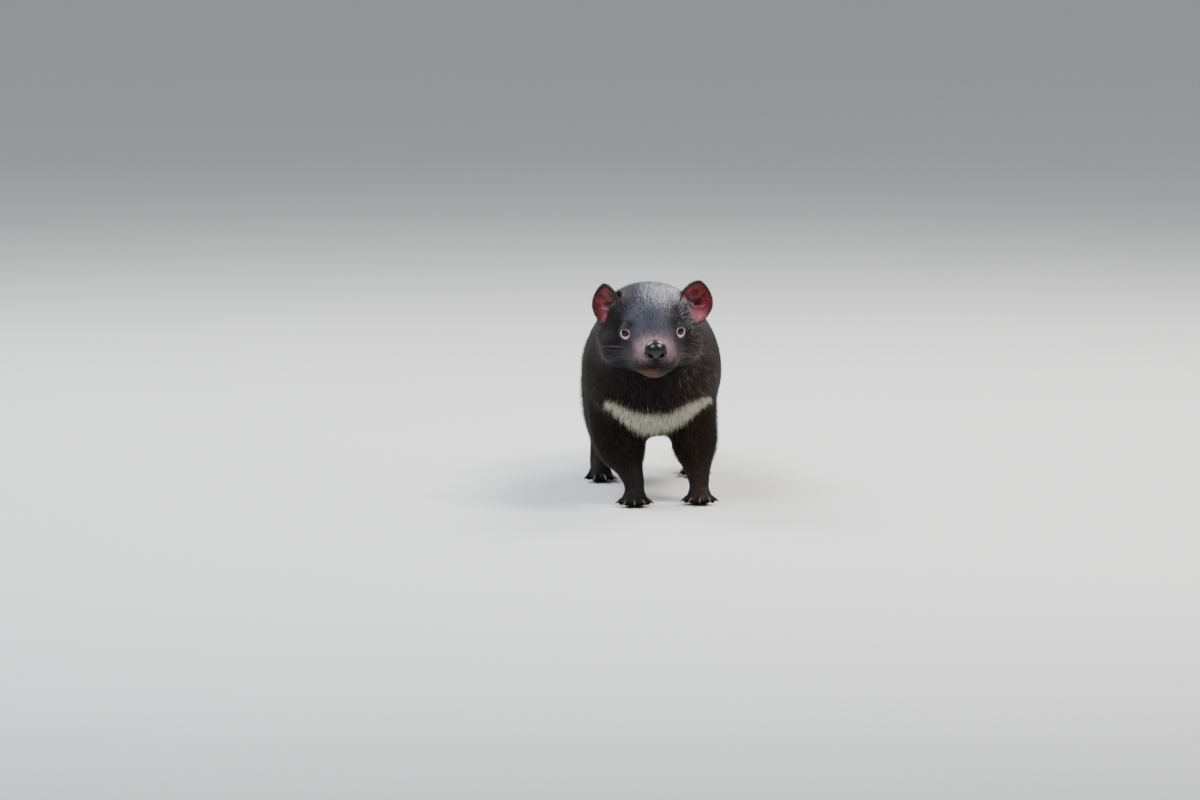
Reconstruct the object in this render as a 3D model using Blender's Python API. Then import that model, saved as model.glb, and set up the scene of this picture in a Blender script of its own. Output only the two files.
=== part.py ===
"""A life-size standing Tasmanian devil, as one still model.

It faces -Y, its left side is +X, and it stands on the plane z = 0. Lengths are in metres.
The solids reach out to the tips of the short coat. The whole body is one smooth form that is
parted by thin cuts into head, neck, torso, tail, legs and paws. Ears, eyes and nose are set on it.
"""

import math

import bmesh
import bpy
from mathutils import Matrix, Vector
from mathutils.bvhtree import BVHTree

# Driving sizes
SHOULDER_HEIGHT = 0.256
CHEST_HALF_WIDTH = 0.0882
BELLY_HEIGHT = 0.079
RUMP_Y = 0.262
TAIL_LENGTH = 0.235
GAP = 0.0003

# Head: its own frame has its origin midway between the eyes, with the nose towards -Y
EYE_LINE = Vector((0.0050, -0.214, 0.2228))
HEAD_PITCH = math.radians(10)
HEAD_YAW = math.radians(4)
HEAD_ROLL = math.radians(-1.5)
CROWN_HEIGHT = 0.0438
CHEEK_HALF_WIDTH = 0.071
MUZZLE_LENGTH = 0.055
EYE_RADIUS = 0.0078
EYE_SPREAD = 0.0304
EYE_DEPTH = 0.0058
EYE_MOUND = Vector((0.0118, 0.0112, 0.0092))
EYE_AIM = Vector((0.46, -0.88, 0.10)).normalized()
LID_OPENING = 0.0046
LID_THICKNESS = 0.0017
EAR_HALF_HEIGHT = 0.0275
EAR_HALF_WIDTH = 0.0215
EAR_DEPTH = 0.0150
EAR_THICKNESS = 0.0024
EAR_PLACE = {"left": Vector((0.0560, 0.0330, 0.0236)), "right": Vector((-0.0530, 0.0400, 0.0210))}
EAR_TURN = {"left": math.radians(11), "right": math.radians(46)}
EAR_LEAN = math.radians(14)
EAR_MOUTH = Vector((0.0185, 0.0165, 0.0235))
NOSE_PLACE = Vector((0, -0.0498, -0.0088))
NOSE_RADII = Vector((0.0132, 0.0124, 0.0118))
NOSTRIL_PLACE = Vector((0.0074, -0.0600, -0.0130))
LIP_THICKNESS = 0.0026
MOUTH_GROOVE = 0.0009

# Feet: where each paw stands, and how its toes lie
FORE_PAW = {"left": Vector((0.064, -0.140, 0.0)), "right": Vector((-0.0165, -0.162, 0.0))}
FOREARM = {"left": Vector((0.0590, -0.116, 0.066)), "right": Vector((-0.0310, -0.124, 0.068))}
FOREARM_RADIUS = {"left": 0.0300, "right": 0.0335}
HIND_PAW = {"left": Vector((0.062, 0.142, 0.0)), "right": Vector((-0.059, 0.088, 0.0))}
KNEE_OUT = {"left": 0.0220, "right": 0.0165}
FORE_TOES = 5
HIND_TOES = 4
TOE_RADIUS = 0.0050
FORE_SPLAY = math.radians(33)
HIND_SPLAY = math.radians(25)
CLAW_LENGTH = 0.009
CLAW_RADIUS = 0.0021

# Fineness of the forms
RING_POINTS = 40
ROUGH_VOXEL = 0.0032
FINE_VOXEL = 0.0022
BODY_TRIANGLES = 7500

SIDES = {"left": 1, "right": -1}
HEAD_FRAME = (
    Matrix.Translation(EYE_LINE)
    @ Matrix.Rotation(HEAD_ROLL, 4, "Y")
    @ Matrix.Rotation(HEAD_YAW, 4, "Z")
    @ Matrix.Rotation(HEAD_PITCH, 4, "X")
)


def clear_scene():
    for item in list(bpy.data.objects):
        bpy.data.objects.remove(item)


# Helpers that make and change meshes


def new_object(name, shape):
    """Turns a bmesh into a mesh object in the scene."""
    mesh = bpy.data.meshes.new(name)
    shape.to_mesh(mesh)
    shape.free()
    item = bpy.data.objects.new(name, mesh)
    bpy.context.scene.collection.objects.link(item)
    return item


def smooth_row(rows, steps):
    """Rows of numbers read from a Catmull-Rom curve through the given ones."""
    ends = [rows[0]] + list(rows) + [rows[-1]]
    found = []
    for i in range(1, len(ends) - 2):
        for k in range(steps):
            t = k / steps
            found.append([
                0.5 * (2 * b + (c - a) * t + (2 * a - 5 * b + 4 * c - d) * t**2 + (3 * b - a - 3 * c + d) * t**3)
                for a, b, c, d in zip(ends[i - 1], ends[i], ends[i + 1], ends[i + 2])
            ])
    return found + [list(rows[-1])]


def bridged(shape, rings):
    """Adds closed rings of points to the bmesh, joined in order, with both ends filled."""
    made = [[shape.verts.new(point) for point in ring] for ring in rings]
    count = len(made[0])
    for first, second in zip(made, made[1:]):
        for i in range(count):
            k = (i + 1) % count
            shape.faces.new((first[i], first[k], second[k], second[i]))
    shape.faces.new(made[0][::-1])
    shape.faces.new(made[-1])


def add_loft(shape, stations, frame=Matrix.Identity(4), steps=5):
    """A body lofted along Y. A station is y, middle x, half width, top, widest height and bottom."""
    rings = []
    for y, middle, half, top, widest, bottom in smooth_row(stations, steps):
        ring = []
        for i in range(RING_POINTS):
            angle = -2 * math.pi * i / RING_POINTS
            reach = top - widest if math.sin(angle) > 0 else widest - bottom
            point = (middle + half * math.cos(angle), y, widest + reach * math.sin(angle))
            ring.append(frame @ Vector(point))
        rings.append(ring)
    bridged(shape, rings)


def add_ball(shape, centre, radii, turn=Matrix.Identity(4), frame=Matrix.Identity(4), fineness=3):
    """An ellipsoid, turned about its own centre."""
    scale = Matrix.Diagonal((*radii, 1))
    place = frame @ Matrix.Translation(centre) @ turn @ scale
    bmesh.ops.create_icosphere(shape, subdivisions=fineness, radius=1, matrix=place)


def add_limb(shape, joints, steps=6, points=20, deep=1.0):
    """A limb through joints, each a place and a radius, rounded at its ends and flattened by deep."""
    rows = smooth_row([(*place, radius) for place, radius in joints], steps)
    places = [Vector(row[:3]) for row in rows]
    rings = []
    for i, row in enumerate(rows):
        along = (places[min(i + 1, len(rows) - 1)] - places[max(i - 1, 0)]).normalized()
        side = along.cross(Vector((0, 1, 0.01))).normalized()
        other = along.cross(side)
        ring = []
        for k in range(points):
            angle = 2 * math.pi * k / points
            ring.append(places[i] + row[3] * (math.cos(angle) * side + deep * math.sin(angle) * other))
        rings.append(ring)
    bridged(shape, rings)
    for place, radius in (joints[0], joints[-1]):
        add_ball(shape, place, (radius, radius * deep, radius))


def apply_modifiers(item):
    """Replaces the object's mesh by its evaluated one."""
    bpy.context.view_layer.update()
    graph = bpy.context.evaluated_depsgraph_get()
    mesh = bpy.data.meshes.new_from_object(item.evaluated_get(graph))
    item.modifiers.clear()
    item.data = mesh


def remeshed(item, voxel, smoothing):
    """Fuses overlapping shapes into one skin and rounds the creases between them."""
    fuse = item.modifiers.new("fuse", "REMESH")
    fuse.mode = "VOXEL"
    fuse.voxel_size = voxel
    ease = item.modifiers.new("ease", "SMOOTH")
    ease.factor = 0.5
    ease.iterations = smoothing
    apply_modifiers(item)


def keep_largest(item):
    """Leaves only the largest closed surface of a mesh."""
    shape = bmesh.new()
    shape.from_mesh(item.data)
    left = set(shape.verts)
    bodies = []
    while left:
        body = {left.pop()}
        edge = list(body)
        while edge:
            near = {e.other_vert(v) for v in edge for e in v.link_edges} & left
            left -= near
            body |= near
            edge = list(near)
        bodies.append(body)
    bodies.sort(key=len)
    for body in bodies[:-1]:
        bmesh.ops.delete(shape, geom=list(body), context="VERTS")
    shape.to_mesh(item.data)
    shape.free()


def combine(item, tools, operation):
    """Joins, cuts or meets the object with helper objects, then removes the helpers."""
    group = bpy.data.collections.new("tools")
    for tool in tools:
        group.objects.link(tool)
    step = item.modifiers.new(operation.lower(), "BOOLEAN")
    step.operation = operation
    step.operand_type = "COLLECTION"
    step.collection = group
    step.solver = "EXACT"
    apply_modifiers(item)
    for tool in tools:
        bpy.data.objects.remove(tool)
    bpy.data.collections.remove(group)
    keep_largest(item)


def copy_of(item, name):
    other = item.copy()
    other.data = item.data.copy()
    other.name = name
    bpy.context.scene.collection.objects.link(other)
    return other


def grown(item, distance):
    """A copy whose surface lies the distance further out."""
    other = copy_of(item, item.name + "_grown")
    shape = bmesh.new()
    shape.from_mesh(other.data)
    shape.normal_update()
    for vert, normal in [(v, v.normal.copy()) for v in shape.verts]:
        vert.co += normal * distance * vert.calc_shell_factor()
    shape.to_mesh(other.data)
    shape.free()
    return other


def region(planes):
    """A closed block on the inner side of every plane, each a point and an outward normal."""
    shape = bmesh.new()
    bmesh.ops.create_cube(shape, size=2)
    for point, normal in planes:
        geometry = shape.verts[:] + shape.edges[:] + shape.faces[:]
        cut = bmesh.ops.bisect_plane(
            shape, geom=geometry, plane_co=point, plane_no=normal, clear_outer=True
        )
        rim = [e for e in cut["geom_cut"] if isinstance(e, bmesh.types.BMEdge)]
        bmesh.ops.contextual_create(shape, geom=rim)
    bmesh.ops.recalc_face_normals(shape, faces=shape.faces)
    return new_object("region", shape)


def moved_planes(planes, distance):
    return [(Vector(point) + Vector(normal).normalized() * distance, normal) for point, normal in planes]


# The rounded masses of the body


def add_trunk(shape):
    """Chest, back, belly and rump, from the throat to the root of the tail."""
    wide, back, belly = CHEST_HALF_WIDTH, SHOULDER_HEIGHT, BELLY_HEIGHT
    add_loft(shape, [
        (-0.172, 0.003, 0.40 * wide, 0.78 * back, 0.60 * back, 0.130),
        (-0.160, 0.003, 0.68 * wide, 0.89 * back, 0.60 * back, 0.108),
        (-0.140, 0.0040, 0.86 * wide, 0.95 * back, 0.60 * back, 0.090),
        (-0.105, 0.0048, 0.96 * wide, 0.98 * back, 0.60 * back, belly),
        (-0.050, 0.0054, 1.00 * wide, 0.990 * back, 0.60 * back, belly - 0.001),
        (0.010, 0.0062, 1.00 * wide, 0.985 * back, 0.60 * back, belly - 0.002),
        (0.075, 0.0060, 0.99 * wide, 0.960 * back, 0.59 * back, belly - 0.001),
        (0.135, 0.0056, 0.94 * wide, 0.922 * back, 0.58 * back, belly + 0.004),
        (0.185, 0.004, 0.85 * wide, 0.865 * back, 0.57 * back, belly + 0.012),
        (0.222, 0.003, 0.69 * wide, 0.795 * back, 0.57 * back, belly + 0.024),
        (0.246, 0.002, 0.47 * wide, 0.725 * back, 0.56 * back, belly + 0.040),
        (RUMP_Y - 0.004, 0.002, 0.22 * wide, 0.65 * back, 0.56 * back, belly + 0.056),
    ])


def add_neck(shape):
    """Thick neck and throat between the back of the skull and the shoulders."""
    nape = HEAD_FRAME @ Vector((0, 0.062, -0.019))
    shoulders = Vector((0.001, -0.080, 0.166))
    middle = (nape + shoulders) / 2 + Vector((0, 0, 0.004))
    add_limb(shape, [(nape, 0.059), (middle, 0.073), (shoulders, 0.080)], points=32)
    add_ball(shape, (0.002, -0.128, 0.132), (0.066, 0.042, 0.050))


def add_skull(shape):
    """Head without ears, lofted in its own frame from the nose to the nape."""
    crown, cheek, tip = CROWN_HEIGHT, CHEEK_HALF_WIDTH, -MUZZLE_LENGTH
    add_loft(shape, [
        (tip - 0.002, 0, 0.13 * cheek, -0.009, -0.016, -0.024),
        (tip + 0.002, 0, 0.27 * cheek, -0.002, -0.018, -0.036),
        (tip + 0.010, 0, 0.38 * cheek, 0.003, -0.020, -0.044),
        (tip + 0.022, 0, 0.44 * cheek, 0.010, -0.020, -0.049),
        (tip + 0.037, 0, 0.475 * cheek, 0.44 * crown, -0.018, -0.053),
        (0.000, 0, 0.59 * cheek, 0.66 * crown, -0.016, -0.057),
        (0.020, 0, 0.80 * cheek, 0.83 * crown, -0.014, -0.062),
        (0.040, 0, 0.94 * cheek, 0.95 * crown, -0.012, -0.066),
        (0.060, 0, 0.98 * cheek, 1.00 * crown, -0.010, -0.066),
        (0.080, 0, 0.93 * cheek, 0.96 * crown, -0.008, -0.062),
        (0.098, 0, 0.78 * cheek, 0.82 * crown, -0.008, -0.050),
        (0.110, 0, 0.50 * cheek, 0.52 * crown, -0.008, -0.034),
    ], HEAD_FRAME)
    for side in SIDES.values():
        # Jaw muscle, brow and the muscle of the temple
        add_ball(shape, (side * 0.038, 0.030, -0.024), (0.028, 0.034, 0.030), frame=HEAD_FRAME)
        add_ball(shape, (side * 0.022, 0.006, 0.008), (0.0180, 0.019, 0.0135), frame=HEAD_FRAME)
        add_ball(shape, (side * 0.030, 0.044, 0.015), (0.031, 0.034, 0.0255), frame=HEAD_FRAME)


def add_forelegs(shape):
    """Shoulder, upper arm and forearm down to the wrist."""
    for side, sign in SIDES.items():
        paw, forearm = FORE_PAW[side], FOREARM[side]
        shoulder = Vector((sign * 0.046, -0.100, 0.166))
        elbow = Vector((forearm.x * 0.6 + sign * 0.020, -0.106, 0.103))
        lower = forearm.lerp(paw + Vector((0, 0.010, 0.030)), 0.62)
        add_limb(shape, [
            (shoulder, 0.0400),
            (elbow, FOREARM_RADIUS[side] + 0.0045),
            (forearm, FOREARM_RADIUS[side]),
            (lower, 0.0195),
            (paw + Vector((0, 0.009, 0.026)), 0.0150),
            (paw + Vector((0, 0.004, 0.014)), 0.0135),
        ], deep=0.84)


def add_hindlegs(shape):
    """Thigh, shank and the long foot that leans on its ball and toes."""
    for side, sign in SIDES.items():
        paw = HIND_PAW[side]
        hip = Vector((sign * 0.036, 0.158 + (paw.y - 0.115) * 0.2, 0.152))
        knee = Vector((paw.x * 0.6 + sign * KNEE_OUT[side], paw.y + 0.010, 0.100))
        hock = paw + Vector((-sign * 0.002, 0.060, 0.043))
        add_limb(shape, [(hip, 0.048), (knee, 0.0340), (hock, 0.0150)], steps=8)
        add_limb(shape, [(hock, 0.0165), (paw + Vector((0, 0.026, 0.0215)), 0.0150), (paw + Vector((0, 0.004, 0.0135)), 0.0140)])
        add_ball(shape, (sign * 0.044, 0.148 + (paw.y - 0.115) * 0.3, 0.136), (0.036, 0.060, 0.062))


def tail_joints():
    root = Vector((0.001, RUMP_Y - 0.030, 0.160))
    fall = [0.0, 0.26, 0.56, 0.82, 1.0]
    drop = [0.0, -0.027, -0.061, -0.080, -0.086]
    radii = [0.0300, 0.0265, 0.0205, 0.0140, 0.0070]
    return [
        (root + Vector((0.010 * share, TAIL_LENGTH * share * 0.90, dip)), radius)
        for share, dip, radius in zip(fall, drop, radii)
    ]


def toe_rows(paw, count, sign, splay):
    """Root, tip and radius of each toe of a paw, from the inner side out."""
    rows = []
    for i in range(count):
        share = i / (count - 1) * 2 - 1
        angle = share * splay
        reach = 0.027 - 0.006 * abs(share) ** 2
        root = paw + Vector((sign * share * 0.0088, -0.004 + 0.004 * abs(share), 0.0105))
        tip = root + Vector((sign * math.sin(angle), -math.cos(angle), 0)) * (reach - 0.006)
        tip.z = 0.0068
        rows.append((root, tip, TOE_RADIUS))
    return rows


def all_toes():
    """The toes of each paw, by the name of the paw's node."""
    found = {}
    for side, sign in SIDES.items():
        found["forepaw_" + side] = toe_rows(FORE_PAW[side], FORE_TOES, sign, FORE_SPLAY)
        found["hindpaw_" + side] = toe_rows(HIND_PAW[side], HIND_TOES, sign, HIND_SPLAY)
    return found


def add_paws(shape):
    for rows in all_toes().values():
        for root, tip, radius in rows:
            add_limb(shape, [(root, radius * 1.10), (tip, radius)], steps=3, points=12)
    for paw in [*FORE_PAW.values(), *HIND_PAW.values()]:
        add_ball(shape, paw + Vector((0, 0.003, 0.0105)), (0.0165, 0.0185, 0.0125))
    for side in SIDES:
        # Heel of the hind foot, which rests lightly behind the ball
        add_limb(shape, [(HIND_PAW[side] + Vector((0, 0.004, 0.011)), 0.0130), (HIND_PAW[side] + Vector((0, 0.030, 0.0155)), 0.0115)], steps=3)


def add_face(shape, eyes):
    """Swollen whisker pads, chin and rims of the eyes, which the first smoothing would wash out."""
    tip = -MUZZLE_LENGTH
    for centre, aim in eyes.values():
        add_ball(shape, centre, EYE_MOUND, aim.to_track_quat("Z", "Y").to_matrix().to_4x4())
    for side in SIDES.values():
        add_ball(shape, (side * 0.0135, tip + 0.013, -0.021), (0.0150, 0.0150, 0.0130), frame=HEAD_FRAME)
    add_ball(shape, (0, tip + 0.020, -0.0405), (0.0160, 0.0130, 0.0090), frame=HEAD_FRAME)


def whole_body():
    """The body as one closed skin with flat soles at z = 0, and where its eyes go."""
    shape = bmesh.new()
    for add in (add_trunk, add_neck, add_skull, add_forelegs, add_hindlegs):
        add(shape)
    add_limb(shape, tail_joints(), points=24)
    body = new_object("body", shape)
    remeshed(body, ROUGH_VOXEL, 14)
    eyes = eye_centres(surface_of(body))
    shape = bmesh.new()
    shape.from_mesh(body.data)
    add_paws(shape)
    add_face(shape, eyes)
    shape.to_mesh(body.data)
    shape.free()
    remeshed(body, FINE_VOXEL, 3)
    keep_largest(body)
    thin = body.modifiers.new("thin", "DECIMATE")
    thin.ratio = BODY_TRIANGLES / (2 * len(body.data.polygons))
    apply_modifiers(body)
    combine(body, [region([(Vector((0, 0, 0)), Vector((0, 0, -1)))])], "INTERSECT")
    return body, eyes


# Planes that part the body into nodes. Each is a point and a normal that points out of the region

INNER_FORE = {"left": 0.022, "right": 0.0085}


def facing(plane):
    """The same plane with its normal turned round."""
    point, normal = plane
    return point, -Vector(normal)


def head_planes():
    """Behind the ears and jaw, and under the jaw at the throat."""
    turned = HEAD_FRAME.to_3x3()
    return [
        (HEAD_FRAME @ Vector((0, 0.068, -0.010)), turned @ Vector((0, 1, -0.10))),
        (Vector((0, -0.168, 0.150)), Vector((0, 0.42, -0.91))),
    ]


def shoulder_plane():
    return Vector((0, -0.116, 0.190)), Vector((0, 0.83, -0.55))


def tail_plane():
    joints = tail_joints()
    along = joints[1][0] - joints[0][0]
    return joints[0][0] + 0.42 * along, along


def leg_planes(side, fore):
    """The block that holds a whole leg below its slanting joint with the trunk."""
    sign = SIDES[side]
    if fore:
        inner, top, front, back = INNER_FORE[side], 0.079, -0.300, -0.066
    else:
        inner, top, front, back = sign * 0.014, 0.082, 0.046, 0.240
    return [
        (Vector((inner, 0, top)), Vector((-sign, 0, 1))),
        (Vector((inner, 0, 0)), Vector((-sign, 0, 0))),
        (Vector((0, front, 0.05)), Vector((0, -1, 0.2))),
        (Vector((0, back, 0.05)), Vector((0, 1, -0.25))),
    ]


def paw_planes(side, fore):
    """Across the wrist, or across and over the hind foot in front of the hock."""
    paw = FORE_PAW[side] if fore else HIND_PAW[side]
    if fore:
        return [(paw + Vector((0, 0.010, 0.036)), Vector((0, 0.25, 1)))]
    return [
        (paw + Vector((0, 0.0415, 0.0235)), Vector((0, 0.90, 0.45))),
        (paw + Vector((0, 0.000, 0.0365)), Vector((0, 0.10, 1))),
    ]


def cut_from(body, name, planes, without=()):
    """The part of the body inside the planes and outside the given regions, less half the gap."""
    item = copy_of(body, name)
    combine(item, [region(moved_planes(planes, -GAP / 2))], "INTERSECT")
    if without:
        combine(item, [region(moved_planes(others, GAP / 2)) for others in without], "DIFFERENCE")
    return item


def part_body(body):
    """Head, neck, torso, tail, legs and paws, cut from the whole body."""
    nodes = {}
    head, shoulder, root = head_planes(), shoulder_plane(), tail_plane()
    legs = {(side, fore): leg_planes(side, fore) for side in SIDES for fore in (True, False)}
    nodes["head"] = cut_from(body, "head", head)
    nodes["neck"] = cut_from(body, "neck", [shoulder], [head])
    legs = {key: planes + [facing(shoulder)] for key, planes in legs.items()}
    nodes["torso"] = cut_from(body, "torso", [facing(shoulder), root], list(legs.values()))
    nodes["tail"] = cut_from(body, "tail", [facing(root)])
    for (side, fore), planes in legs.items():
        leg, paw = ("foreleg_", "forepaw_") if fore else ("hindleg_", "hindpaw_")
        below = paw_planes(side, fore)
        nodes[leg + side] = cut_from(body, leg + side, planes, [below])
        nodes[paw + side] = cut_from(body, paw + side, planes + below)
    return nodes


# What is set on the body: ears, eyes with their lids, nose, lips and claws


def surface_of(item):
    return BVHTree.FromObject(item, bpy.context.evaluated_depsgraph_get())


def surface_hit(tree, start, towards):
    """Where a ray from inside the head leaves its surface, and the normal there, in world space."""
    begin, end = HEAD_FRAME @ start, HEAD_FRAME @ towards
    place, normal, _, _ = tree.ray_cast(begin, (end - begin).normalized())
    return place, normal


def eye_centres(tree):
    found = {}
    for side, sign in SIDES.items():
        place, _ = surface_hit(tree, Vector((0, 0.034, 0.002)), Vector((sign * EYE_SPREAD, -0.003, 0.0018)))
        aim = HEAD_FRAME.to_3x3() @ Vector((sign * EYE_AIM.x, EYE_AIM.y, EYE_AIM.z))
        found[side] = (place - aim * EYE_DEPTH, aim)
    return found


def ball_object(name, centre, radius, fineness=3):
    shape = bmesh.new()
    add_ball(shape, centre, (radius,) * 3, fineness=fineness)
    return new_object(name, shape)


def lid_ring(centre, aim):
    """The rim of both lids, a thick ring round the opening, a little wider than high."""
    shape = bmesh.new()
    turn = aim.to_track_quat("Z", "Y").to_matrix().to_4x4()
    reach = math.sqrt(EYE_RADIUS**2 - LID_OPENING**2)
    rings, across, around = [], 6, 20
    for i in range(around):
        angle = 2 * math.pi * i / around
        out = Vector((math.cos(angle), math.sin(angle), 0))
        wide = LID_OPENING + LID_THICKNESS * 0.75
        ring = []
        for k in range(across):
            turned = 2 * math.pi * k / across
            thick = LID_THICKNESS * math.cos(turned)
            ring.append(out * (wide + thick) + Vector((0, 0, reach + LID_THICKNESS * math.sin(turned))))
        rings.append([Matrix.Translation(centre) @ turn @ point for point in ring])
    made = [[shape.verts.new(point) for point in ring] for ring in rings]
    for i in range(around):
        first, second = made[i], made[(i + 1) % around]
        for k in range(across):
            j = (k + 1) % across
            shape.faces.new((first[k], second[k], second[j], first[j]))
    bmesh.ops.recalc_face_normals(shape, faces=shape.faces)
    return new_object("lids", shape)


def mouth_line(tree):
    """Points along the lips, from one corner of the mouth round under the nose to the other."""
    tip = -MUZZLE_LENGTH
    half = [
        (0.0440, 0.006, -0.0300), (0.0400, -0.010, -0.0325), (0.0340, -0.024, -0.0340),
        (0.0270, tip + 0.018, -0.0340), (0.0170, tip + 0.007, -0.0325), (0.0060, tip + 0.002, -0.0290),
    ]
    route = [(-x, y, z) for x, y, z in half] + [(x, y, z) for x, y, z in reversed(half)]
    found = []
    for place in smooth_row(route, 2):
        found.append(tree.find_nearest(HEAD_FRAME @ Vector(place)))
    return [(place, normal) for place, normal, _, _ in found]


def bent_rod(name, places, radii, points=6):
    """A closed rod along the places, with a radius at each."""
    shape = bmesh.new()
    rings = []
    for i, place in enumerate(places):
        along = (places[min(i + 1, len(places) - 1)] - places[max(i - 1, 0)]).normalized()
        side = along.cross(Vector((0.02, 0.03, 1))).normalized()
        other = along.cross(side)
        rings.append([
            place + radii[i] * (math.cos(angle) * side + math.sin(angle) * other)
            for angle in (2 * math.pi * k / points for k in range(points))
        ])
    bridged(shape, rings)
    bmesh.ops.recalc_face_normals(shape, faces=shape.faces)
    return new_object(name, shape)


def shape_head(head, eyes, line):
    """Adds lids and lips to the head, then sinks the places of the ears and eyes and the line of the mouth."""
    count = len(line)
    taper = [math.sin(math.pi * (0.08 + 0.84 * i / (count - 1))) ** 0.5 for i in range(count)]
    lips = [place - normal * LIP_THICKNESS * 0.55 for place, normal in line]
    grown_on = [lid_ring(centre, aim) for centre, aim in eyes.values()]
    grown_on.append(bent_rod("lips", lips, [LIP_THICKNESS * share for share in taper]))
    combine(head, grown_on, "UNION")
    seam = [place + normal * LIP_THICKNESS * 0.42 * share for (place, normal), share in zip(line, taper)]
    cuts = ear_pits() + [ball_object("socket", centre, EYE_RADIUS + GAP) for centre, _ in eyes.values()]
    for centre, aim in eyes.values():
        opening = [centre + aim * EYE_RADIUS * share for share in (0.5, 1.0, 2.0)]
        cuts.append(bent_rod("opening", opening, [LID_OPENING, LID_OPENING, LID_OPENING * 1.3], points=20))
    cuts.append(bent_rod("mouth", seam[1:-1], [MOUTH_GROOVE] * (count - 2)))
    combine(head, cuts, "DIFFERENCE")


def add_eyes(nodes, eyes):
    for side, (centre, _) in eyes.items():
        nodes["eye_" + side] = ball_object("eye_" + side, centre, EYE_RADIUS)


def ear_frame(side, sign):
    turn = Matrix.Rotation(sign * EAR_TURN[side], 4, "Z") @ Matrix.Rotation(sign * EAR_LEAN, 4, "Y")
    return HEAD_FRAME @ Matrix.Translation(EAR_PLACE[side]) @ turn


def ear_rings(frame, spokes, rings, extra=0.0):
    """Rings of points on an ear's cup, from its middle to its rim. Extra makes the cup larger all round."""
    found = []
    for i in range(1, rings + 1):
        share = i / rings
        row = []
        for k in range(spokes):
            angle = 2 * math.pi * k / spokes
            high = math.sin(angle)
            pinch = 1 - 0.20 * max(0, high) ** 2 - 0.16 * max(0, -high)
            row.append(frame @ Vector((
                (EAR_HALF_WIDTH * pinch + extra) * share * math.cos(angle),
                (EAR_DEPTH + extra) * math.sqrt(max(0, 1 - share**2)) - 0.003 * share**2 * math.cos(angle) ** 2,
                (EAR_HALF_HEIGHT + extra) * share * high,
            )))
        found.append(row)
    return found


def add_fan(shape, middle, ring):
    """Triangles from one point to a ring of points."""
    for k in range(len(ring)):
        shape.faces.new((middle, ring[(k + 1) % len(ring)], ring[k]))


def add_ears(nodes):
    """Each ear is a thin whole cup with a rounded tip."""
    for side, sign in SIDES.items():
        shape = bmesh.new()
        frame = ear_frame(side, sign)
        rows = [[shape.verts.new(point) for point in ring] for ring in ear_rings(frame, 30, 7)]
        for first, second in zip(rows, rows[1:]):
            for k in range(30):
                j = (k + 1) % 30
                shape.faces.new((first[k], first[j], second[j], second[k]))
        add_fan(shape, shape.verts.new(frame @ Vector((0, EAR_DEPTH, 0))), rows[0])
        bmesh.ops.recalc_face_normals(shape, faces=shape.faces)
        ear = new_object("ear_" + side, shape)
        wall = ear.modifiers.new("wall", "SOLIDIFY")
        wall.thickness = EAR_THICKNESS
        wall.offset = 0
        apply_modifiers(ear)
        nodes["ear_" + side] = ear


def ear_pits():
    """What the head leaves free for each ear: the cup itself, and its mouth in front of it."""
    pits = []
    extra = EAR_THICKNESS / 2 + GAP + 0.0002
    for side, sign in SIDES.items():
        frame = ear_frame(side, sign)
        shape = bmesh.new()
        rings = ear_rings(frame, 30, 7, extra)
        ahead = frame.to_3x3() @ Vector((0, -1, 0))
        rings.append([point + ahead * 0.0007 for point in rings[-1]])
        rows = [[shape.verts.new(point) for point in ring] for ring in rings]
        for first, second in zip(rows, rows[1:]):
            for k in range(30):
                j = (k + 1) % 30
                shape.faces.new((first[k], first[j], second[j], second[k]))
        add_fan(shape, shape.verts.new(frame @ Vector((0, EAR_DEPTH + extra, 0))), rows[0])
        add_fan(shape, shape.verts.new(frame @ Vector((0, -0.003, 0))), rows[-1][::-1])
        bmesh.ops.recalc_face_normals(shape, faces=shape.faces)
        pits.append(new_object("ear_place", shape))
        shape = bmesh.new()
        slant = Matrix.Rotation(-sign * math.radians(12), 4, "Y")
        add_ball(shape, Vector((sign * 0.0045, 0, 0.0030)), EAR_MOUTH, slant, frame)
        pits.append(new_object("ear_mouth", shape))
    return pits


def add_nose(nodes, grown_head):
    """The bare nose pad with two nostrils."""
    shape = bmesh.new()
    add_ball(shape, NOSE_PLACE, NOSE_RADII, frame=HEAD_FRAME)
    for side in SIDES.values():
        wing = Vector((side * 0.0074, NOSE_PLACE.y - 0.0042, NOSE_PLACE.z - 0.0036))
        add_ball(shape, wing, (0.0064, 0.0070, 0.0062), frame=HEAD_FRAME)
    nose = new_object("nose", shape)
    remeshed(nose, 0.0012, 3)
    thin = nose.modifiers.new("thin", "DECIMATE")
    thin.ratio = 360 / (2 * len(nose.data.polygons))
    apply_modifiers(nose)
    pits = []
    for side in SIDES.values():
        shape = bmesh.new()
        centre = Vector((side * NOSTRIL_PLACE.x, NOSTRIL_PLACE.y, NOSTRIL_PLACE.z))
        turn = Matrix.Rotation(side * math.radians(35), 4, "Y")
        add_ball(shape, centre, (0.0028, 0.0040, 0.0018), turn, HEAD_FRAME, 2)
        pits.append(new_object("nostril", shape))
    combine(nose, pits, "DIFFERENCE")
    combine(nose, [copy_of(grown_head, "fit")], "DIFFERENCE")
    nodes["nose"] = nose


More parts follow.
